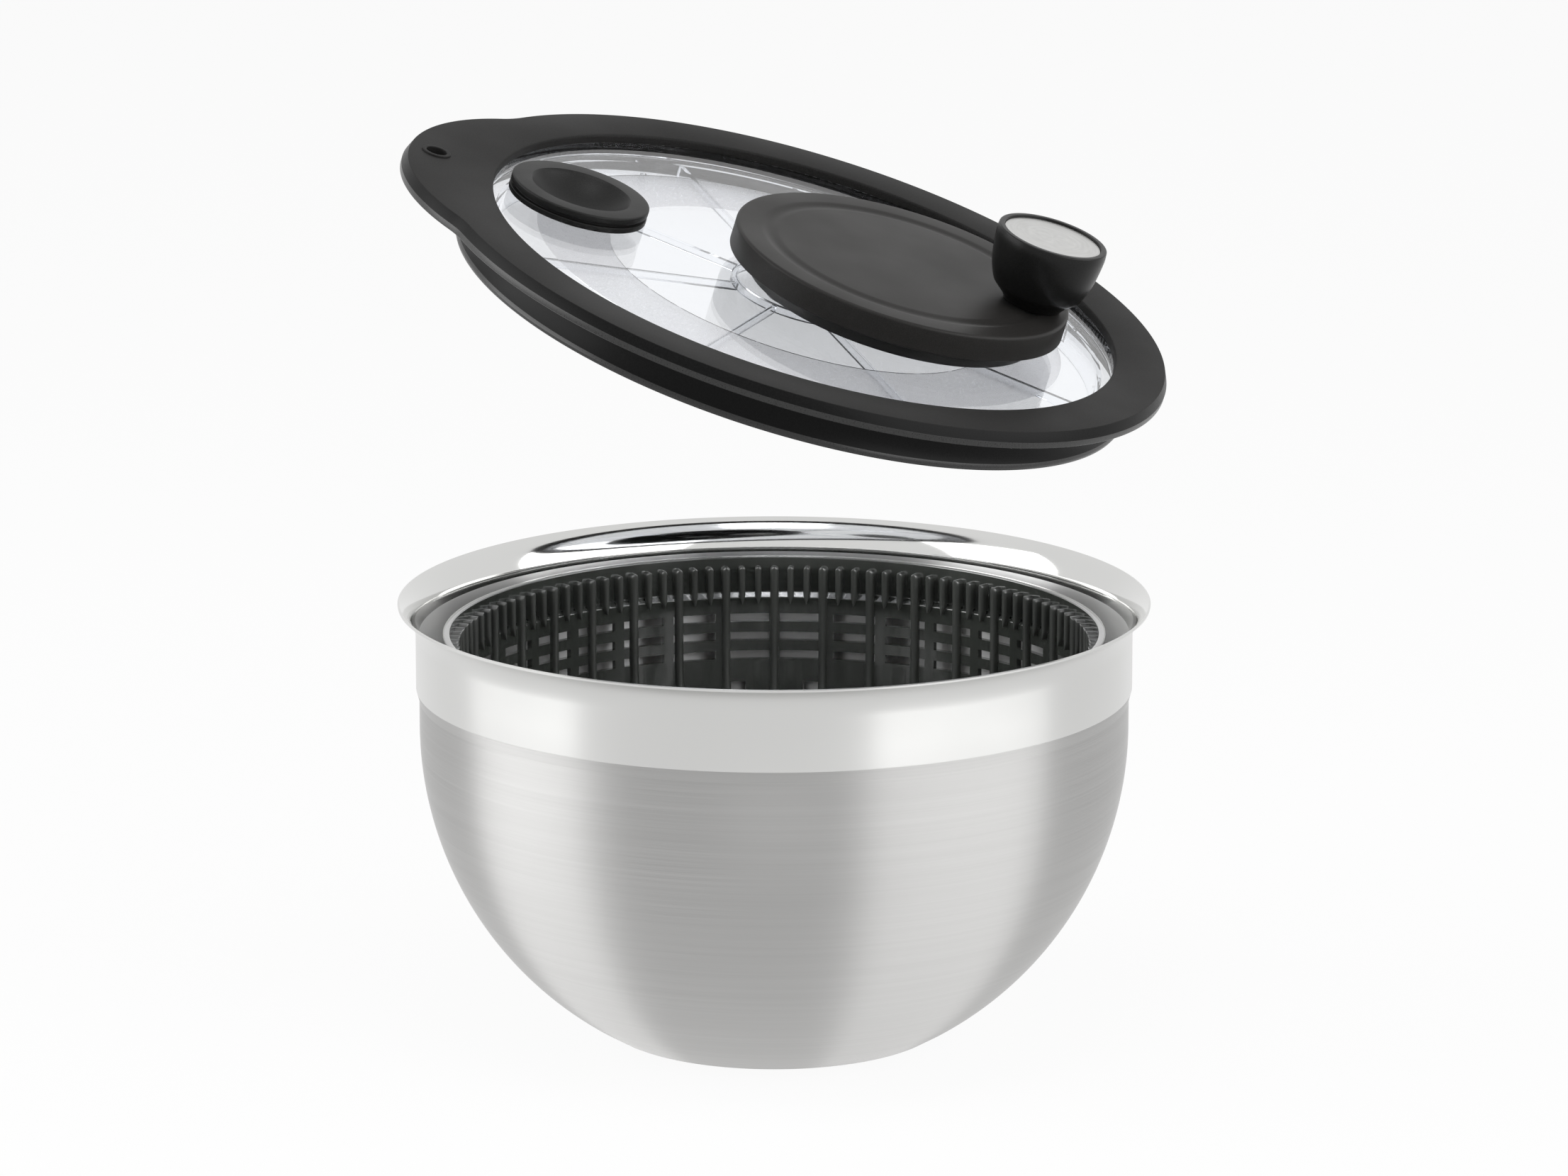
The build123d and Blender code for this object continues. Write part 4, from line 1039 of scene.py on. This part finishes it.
def with_holes(mesh, cutters):
    """Mesh with round holes cut through it."""
    holder = new_object("uncut", mesh)
    tools = []
    for cutter in cutters:
        tool = new_object("cutter", cutter)
        cut = holder.modifiers.new("hole", "BOOLEAN")
        cut.operation = "DIFFERENCE"
        cut.solver = "EXACT"
        cut.object = tool
        tools.append(tool)
    for thing in (holder, *tools):
        outward(thing.data)
    depsgraph = bpy.context.evaluated_depsgraph_get()
    result = bpy.data.meshes.new_from_object(holder.evaluated_get(depsgraph))
    for thing in (holder, *tools):
        bpy.data.objects.remove(thing)
    return result


def outside_lip(point):
    """Whether a point is on the outer side of the lip under the skirt."""
    return hypot(point[0], point[1]) > SKIRT_LIP_R - 0.5 and point[2] < SKIRT_LOW + 2.3


def ring_zone(k, here, after):
    """Finish of one face of the ring: 0 matt, 1 glossy edge and lip with a painted sheen, 2 slope and skirt
    in painted shade.
    """
    low, high = sorted((here[2], after[2]))
    on_edge = k < EDGE_POINTS
    if on_edge and high < 0.5 - EDGE_SLOPE_DOWN and low > -LID_EDGE - 0.2:
        return 1
    if outside_lip(here) and outside_lip(after):
        return 1
    if on_edge and -EDGE_SLOPE_DOWN < high < 0.05 and low < -0.6:
        return 2
    if k >= EDGE_POINTS - 2 and high < -LID_EDGE and low > SKIRT_LOW + 1.2:
        return 2
    return 0


def make_silicone_rim():
    stations = ring_stations()
    count, size = len(stations), len(stations[0])
    verts = [point for loop in stations for point in loop]
    faces, marks = [], []
    for s in range(count):
        first, second = s * size, (s + 1) % count * size
        for k in range(size):
            after = (k + 1) % size
            faces.append([first + k, second + k, second + after, first + after])
            marks.append(ring_zone(k, stations[s][k], stations[s][after]))
    mesh = new_mesh("ring", verts, faces)
    mesh.polygons.foreach_set("material_index", marks)
    finishes = [SILICONE, SILICONE_GLOSS_SHEEN, SILICONE_PAINTED_SHADE]
    for material in finishes:
        mesh.materials.append(material)
    mesh = with_holes(mesh, [hole_cutter(HANG_HOLE_R, HANG_CUT, (-HANG_HOLE_AT, 0.0))])
    piece = finished("silicone_ring", mesh, LID, "lid", finishes, 30.0)
    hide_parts("silicone_rim")
    eyelet = softened(
        [
            (HANG_HOLE_R, -LID_EDGE + 0.5),
            (HANG_HOLE_R, EYELET_RISE, 0.3),
            (HANG_HOLE_R + EYELET_WIDTH, EYELET_RISE, 0.4),
            (HANG_HOLE_R + EYELET_WIDTH, -LID_EDGE + 0.5),
        ]
    )
    place = on_lid(-HANG_HOLE_AT)
    finished("hanging_eyelet", turned(eyelet, None, 64), place, "lid", [SILICONE])


# ---------------------------------------------------------------- window, crank and knob
def make_window_plate():
    outline = softened(
        [
            (0, PLATE_TOP),
            (PLATE_R, PLATE_TOP, 0.3),
            (PLATE_R, PLATE_SKIRT_LOW, 0.4),
            (PLATE_SKIRT_R, PLATE_SKIRT_LOW, 0.4),
            (PLATE_SKIRT_R, PLATE_BOTTOM, 0.8),
            (0, PLATE_BOTTOM),
        ]
    )
    holes = [
        hole_cutter(PLATE_HOLE_R, PLATE_CUT),
        hole_cutter(PLATE_HOLE_R, PLATE_CUT, (CRANK_AT, 0.0)),
        hole_cutter(PLUG_HOLE_R, PLATE_CUT, (-PLUG_AT, 0.0), 96),
    ]
    mesh = with_holes(turned(outline), holes)
    piece = finished("window", mesh, LID, "lid", [CLEAR], FLAT_SHARP)
    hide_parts("window_plate")


def make_crank():
    groove_out = CRANK_GROOVE_R + CRANK_GROOVE_WIDTH / 2
    under = CRANK_TOP - CRANK_WALL
    groove = [
        (
            groove_out - CRANK_GROOVE_WIDTH * k / 12,
            CRANK_TOP - CRANK_GROOVE_DEPTH * sin(pi * k / 12) ** 2,
        )
        for k in range(13)
    ]
    edge = softened(
        [
            (0, CRANK_LOW + 0.3),
            (CRANK_BOSS_R, CRANK_LOW + 0.3),
            (CRANK_BOSS_R, under),
            (CRANK_R - CRANK_WALL, under),
            (CRANK_R - CRANK_WALL, CRANK_LOW),
            (CRANK_R, CRANK_LOW, 0.4),
            (CRANK_R, CRANK_TOP, CRANK_ROUND),
            (groove_out + 1, CRANK_TOP),
        ],
        6,
    )
    outline = edge[:-1] + groove + [(0, CRANK_TOP)]
    place = on_lid(CRANK_AT)
    piece = finished("crank_plate", turned(outline), place, "crank", [GRAINED], 50.0)
    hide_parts("crank_disc")


def make_knob():
    side = [(radius, KNOB_TOP - depth) for depth, radius in KNOB_FLANK]
    flank = smooth_line(side + [(KNOB_BASE_R, KNOB_LOW)])
    recess = softened(
        [
            (SCREW_ROOM_R, INSERT_LOW),
            (INSERT_R, INSERT_LOW),
            (INSERT_R, KNOB_TOP, 0.3),
            (KNOB_LIP_R, KNOB_TOP, 0.5),
            flank[0],
        ]
    )
    bore = [(KNOB_BORE_R, KNOB_LOW), (KNOB_BORE_R, KNOB_BORE_TOP), (SCREW_ROOM_R, KNOB_BORE_TOP)]
    outline = recess[:-1] + flank + bore
    place = on_lid(KNOB_AT)
    piece = finished("knob_body", turned(outline, None, 128), place, "knob", [SATIN], 50.0)
    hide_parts("knob")
    insert = softened(
        [
            (0, INSERT_LOW),
            (INSERT_R, INSERT_LOW),
            (INSERT_R, INSERT_TOP, 0.35),
            (0, INSERT_TOP),
        ]
    )
    mesh = turned(insert, None, 128)
    piece = finished("knob_steel_cap", mesh, place, "knob", [INSERT_STEEL], FLAT_SHARP)
    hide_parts("knob_insert")


def make_plug():
    ball = (PLUG_DISH_R**2 + PLUG_DISH_DEPTH**2) / (2 * PLUG_DISH_DEPTH)
    dish = arc((0, PLUG_TOP - PLUG_DISH_DEPTH + ball), ball, -90, -degrees(acos(PLUG_DISH_R / ball)), 16)
    low = PLUG_TOP - PLUG_DISH_DEPTH - PLUG_WALL
    side = softened(
        [
            dish[-1] + (0.7,),
            (PLUG_R, PLUG_TOP, 0.7),
            (PLUG_R, PLUG_GROOVE_TOP, 0.25),
            (PLUG_GROOVE_R, PLUG_GROOVE_TOP, 0.2),
            (PLUG_GROOVE_R, PLUG_GROOVE_LOW, 0.2),
            (PLUG_R, PLUG_GROOVE_LOW, 0.25),
            (PLUG_R, PLATE_TOP + 0.3, 0.6),
            (PLUG_STEM_R, PLATE_TOP + 0.3),
            (PLUG_STEM_R, low, 1.2),
            (0, low),
            (0, PLUG_TOP - PLUG_DISH_DEPTH),
        ]
    )
    place = on_lid(-PLUG_AT)
    mesh = turned(dish[:-1] + side[1:-1], None, 160)
    piece = finished("soft_plug", mesh, place, "plug", [SOFT], 50.0)
    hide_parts("plug")


# ---------------------------------------------------------------- driver disc
def driver_piece(name, mesh, sharp=35.0):
    finished(name, mesh, LID, "driver", [DRIVER_CLEAR], sharp)


def make_driver():
    """Clear disc with its frosted ring, and the flange, ribs, hub ring and lugs under it."""
    outline = softened(
        [
            (DRIVER_BORE_R, DRIVER_HUB_LOW),
            (DRIVER_HUB_R, DRIVER_HUB_LOW, 0.5),
            (DRIVER_HUB_R, DRIVER_LOW, 0.5),
            (DRIVER_R, DRIVER_LOW, 0.4),
            (DRIVER_R, DRIVER_TOP, 0.6),
            (FROST_OUT_R, DRIVER_TOP),
            (FROST_OUT_R, DRIVER_TOP - FROST_STEP),
            (FROST_IN_R, DRIVER_TOP - FROST_STEP),
            (FROST_IN_R, DRIVER_TOP),
            (DRIVER_HUB_R, DRIVER_TOP, 0.5),
            (DRIVER_HUB_R, DRIVER_HUB_TOP, 0.4),
            (DRIVER_BORE_R, DRIVER_HUB_TOP),
        ]
    )
    sunk = [abs(point[1] - DRIVER_TOP + FROST_STEP) < 0.01 for point in outline]
    zones = [int(here and after) for here, after in zip(sunk, sunk[1:] + sunk[:1])]
    mesh = turned(outline, zones)
    piece = finished("driver_plate", mesh, LID, "driver", [DRIVER_CLEAR, FROSTED], FLAT_SHARP)
    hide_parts("driver_disc")

    top = DRIVER_LOW + 0.1
    flange = softened(
        [
            (FLANGE_IN_R, top),
            (FLANGE_IN_R, FLANGE_LOW, 0.5),
            (FLANGE_R, FLANGE_LOW, 0.5),
            (FLANGE_R, top),
        ]
    )
    driver_piece("driver_flange", turned(flange), FLAT_SHARP)

    half = DRIVER_RIB_HALF
    low = DRIVER_LOW - DRIVER_RIB_DEPTH
    ring = softened(
        [
            (DRIVER_RING_R - half, top),
            (DRIVER_RING_R - half, low, 0.4),
            (DRIVER_RING_R + half, low, 0.4),
            (DRIVER_RING_R + half, top),
        ]
    )
    driver_piece("driver_hub_ring", turned(ring, None, 128), FLAT_SHARP)

    start = FLANGE_IN_R - GUSSET_LENGTH
    gusset = [start + GUSSET_LENGTH * k / 6 for k in range(1, 6)]
    reach = [DRIVER_RING_R + half * 0.9, start, *gusset, FLANGE_IN_R + 0.3]
    stations = []
    for radius in reach:
        share = max(0.0, (radius - start) / GUSSET_LENGTH)
        under = low - (GUSSET_DEPTH - DRIVER_RIB_DEPTH) * share**1.6
        stations.append(
            [
                (radius, -half, top),
                (radius, -half, under + 0.3),
                (radius, -half + 0.3, under),
                (radius, half - 0.3, under),
                (radius, half, under + 0.3),
                (radius, half, top),
            ]
        )
    ribs = copies_round(swept(stations), DRIVER_RIBS, DRIVER_RIB_START, DRIVER_CLEAR)
    driver_piece("driver_ribs", ribs, 40.0)

    loops = []
    for radius, trim in ((FLANGE_R - LUG_TRIM, 0.0), (LUG_REACH - LUG_TRIM, 0.0), (LUG_REACH, LUG_TRIM)):
        low, high = FLANGE_LOW + trim, FLANGE_LOW + LUG_HEIGHT - trim
        wide = LUG_HALF - trim
        loops.append([(radius, -wide, low), (radius, wide, low), (radius, wide, high), (radius, -wide, high)])
    lugs = copies_round(swept(loops), LUGS, LUG_START, DRIVER_CLEAR)
    driver_piece("driver_lugs", lugs)


# ---------------------------------------------------------------- pieces kept from the frame
KEPT_FINISHES = {
    "foot_pad": SOFT,
    "pivot_foot": WHITE,
    "pivot_pin": PLAIN_STEEL,
    "basket_bush": WHITE,
    "gear_housing": SATIN,
    "housing_screws": PLAIN_STEEL,
    "centre_bush": WHITE,
    "axle_bush": WHITE,
    "crank_axle": PLAIN_STEEL,
    "ring_gear": SATIN,
    "knob_pin": PLAIN_STEEL,
    "knob_screw": PLAIN_STEEL,
    "pinion": WHITE,
    "drive_shaft": PLAIN_STEEL,
    "shaft_clip": PLAIN_STEEL,
}


def finish_kept_pieces():
    for name, material in KEPT_FINISHES.items():
        mesh = frame["nodes"][name].data
        mesh.materials.clear()
        mesh.materials.append(material)


# ---------------------------------------------------------------- studio
VIEW_ELEVATION = 13.3
VIEW_DISTANCE = 3.0
VIEW_AIM = Vector((0.00335, 0.0, 0.153))
VIEW_LENS = 204.0

# Name: direction and elevation in degrees, width and height in metres, power in watts.
SOFT_BOXES = {
    "left_box": (-85, 20, 1.3, 1.2, 14),
    "right_box": (62, 20, 1.9, 1.2, 17.5),
    "top_box": (0, 75, 0.5, 0.5, 4),
}
BOX_DISTANCE = 1.5
DIFFUSE_LIGHT = 0.4
FLOOR_HALF = 6.0
FLOOR_DROP = 0.0002
FLOOR_COLOUR = (0.9, 0.9, 0.9, 1)
FLOOR_WHITE_SHARE = 0.92
WHITE_LIGHT = (1, 1, 1, 1)


def background_rays(nodes, links):
    """1 for the rays that show the background: the eye's own, mirrored ones and ones through glass."""
    path = nodes.new("ShaderNodeLightPath")
    result = path.outputs["Is Camera Ray"]
    for kind in ("Is Glossy Ray", "Is Transmission Ray"):
        either = nodes.new("ShaderNodeMath")
        either.operation = "MAXIMUM"
        links.new(result, either.inputs[0])
        links.new(path.outputs[kind], either.inputs[1])
        result = either.outputs[0]
    return result


def mixed(nodes, links, share, low, high):
    """Shader that goes from low to high with a share."""
    mix = nodes.new("ShaderNodeMixShader")
    links.new(share, mix.inputs["Fac"])
    links.new(low.outputs[0], mix.inputs[1])
    links.new(high.outputs[0], mix.inputs[2])
    return mix.outputs[0]


def studio_world():
    """Plain soft light all round, and white wherever the background is seen."""
    world = bpy.data.worlds.new("studio")
    bpy.context.scene.world = world
    world.use_nodes = True
    nodes, links = world.node_tree.nodes, world.node_tree.links
    nodes.clear()
    lights = []
    for strength in (DIFFUSE_LIGHT, 1.0):
        light = nodes.new("ShaderNodeBackground")
        light.inputs["Color"].default_value = WHITE_LIGHT
        light.inputs["Strength"].default_value = strength
        lights.append(light)
    output = nodes.new("ShaderNodeOutputWorld")
    links.new(mixed(nodes, links, background_rays(nodes, links), *lights), output.inputs["Surface"])


def studio_floor():
    """Pale floor that keeps a light shadow, and that metal and glass show as the eye does."""
    corners = [(-1, -1), (1, -1), (1, 1), (-1, 1)]
    mesh = new_mesh("floor", [(x * FLOOR_HALF, y * FLOOR_HALF, 0) for x, y in corners], [[0, 1, 2, 3]])
    floor = new_object("floor", mesh)
    floor.location.z = -FLOOR_DROP
    material = bpy.data.materials.new("floor_white")
    material.use_nodes = True
    nodes, links = material.node_tree.nodes, material.node_tree.links
    nodes.clear()
    plain = nodes.new("ShaderNodeBsdfDiffuse")
    plain.inputs["Color"].default_value = FLOOR_COLOUR
    glow = nodes.new("ShaderNodeEmission")
    glow.inputs["Strength"].default_value = 1.0
    share = nodes.new("ShaderNodeMath")
    share.operation = "MULTIPLY"
    links.new(background_rays(nodes, links), share.inputs[0])
    share.inputs[1].default_value = FLOOR_WHITE_SHARE
    output = nodes.new("ShaderNodeOutputMaterial")
    links.new(mixed(nodes, links, share.outputs[0], plain, glow), output.inputs["Surface"])
    mesh.materials.append(material)


def soft_box(name, direction, elevation, wide, high, power):
    """Soft box that faces the object from a direction and elevation, in degrees."""
    light = bpy.data.lights.new(name, "AREA")
    light.shape = "RECTANGLE"
    light.size = wide
    light.size_y = high
    light.energy = power
    lamp = new_object(name, light)
    turn, rise = radians(direction), radians(elevation)
    away = Vector((sin(turn) * cos(rise), -cos(turn) * cos(rise), sin(rise)))
    lamp.location = VIEW_AIM + away * BOX_DISTANCE
    lamp.rotation_euler = away.to_track_quat("Z", "Y").to_euler()
    lamp.visible_camera = False


def studio_camera():
    camera = bpy.data.cameras.new("camera")
    camera.lens = VIEW_LENS
    camera.sensor_width = 36.0
    holder = new_object("camera", camera)
    tilt = radians(VIEW_ELEVATION)
    holder.location = VIEW_AIM + Vector((0, -cos(tilt), sin(tilt))) * VIEW_DISTANCE
    holder.rotation_euler = (pi / 2 - tilt, 0, 0)
    bpy.context.scene.camera = holder


make_bowl()
make_basket_collar()
make_basket_lattice()
make_basket_body()
make_basket_floor()
make_basket_ribs()
make_silicone_rim()
make_window_plate()
make_crank()
make_knob()
make_plug()
make_driver()
finish_kept_pieces()

studio_world()
studio_floor()
for box, settings in SOFT_BOXES.items():
    soft_box(box, *settings)
studio_camera()
bpy.context.scene.view_settings.view_transform = "Standard"
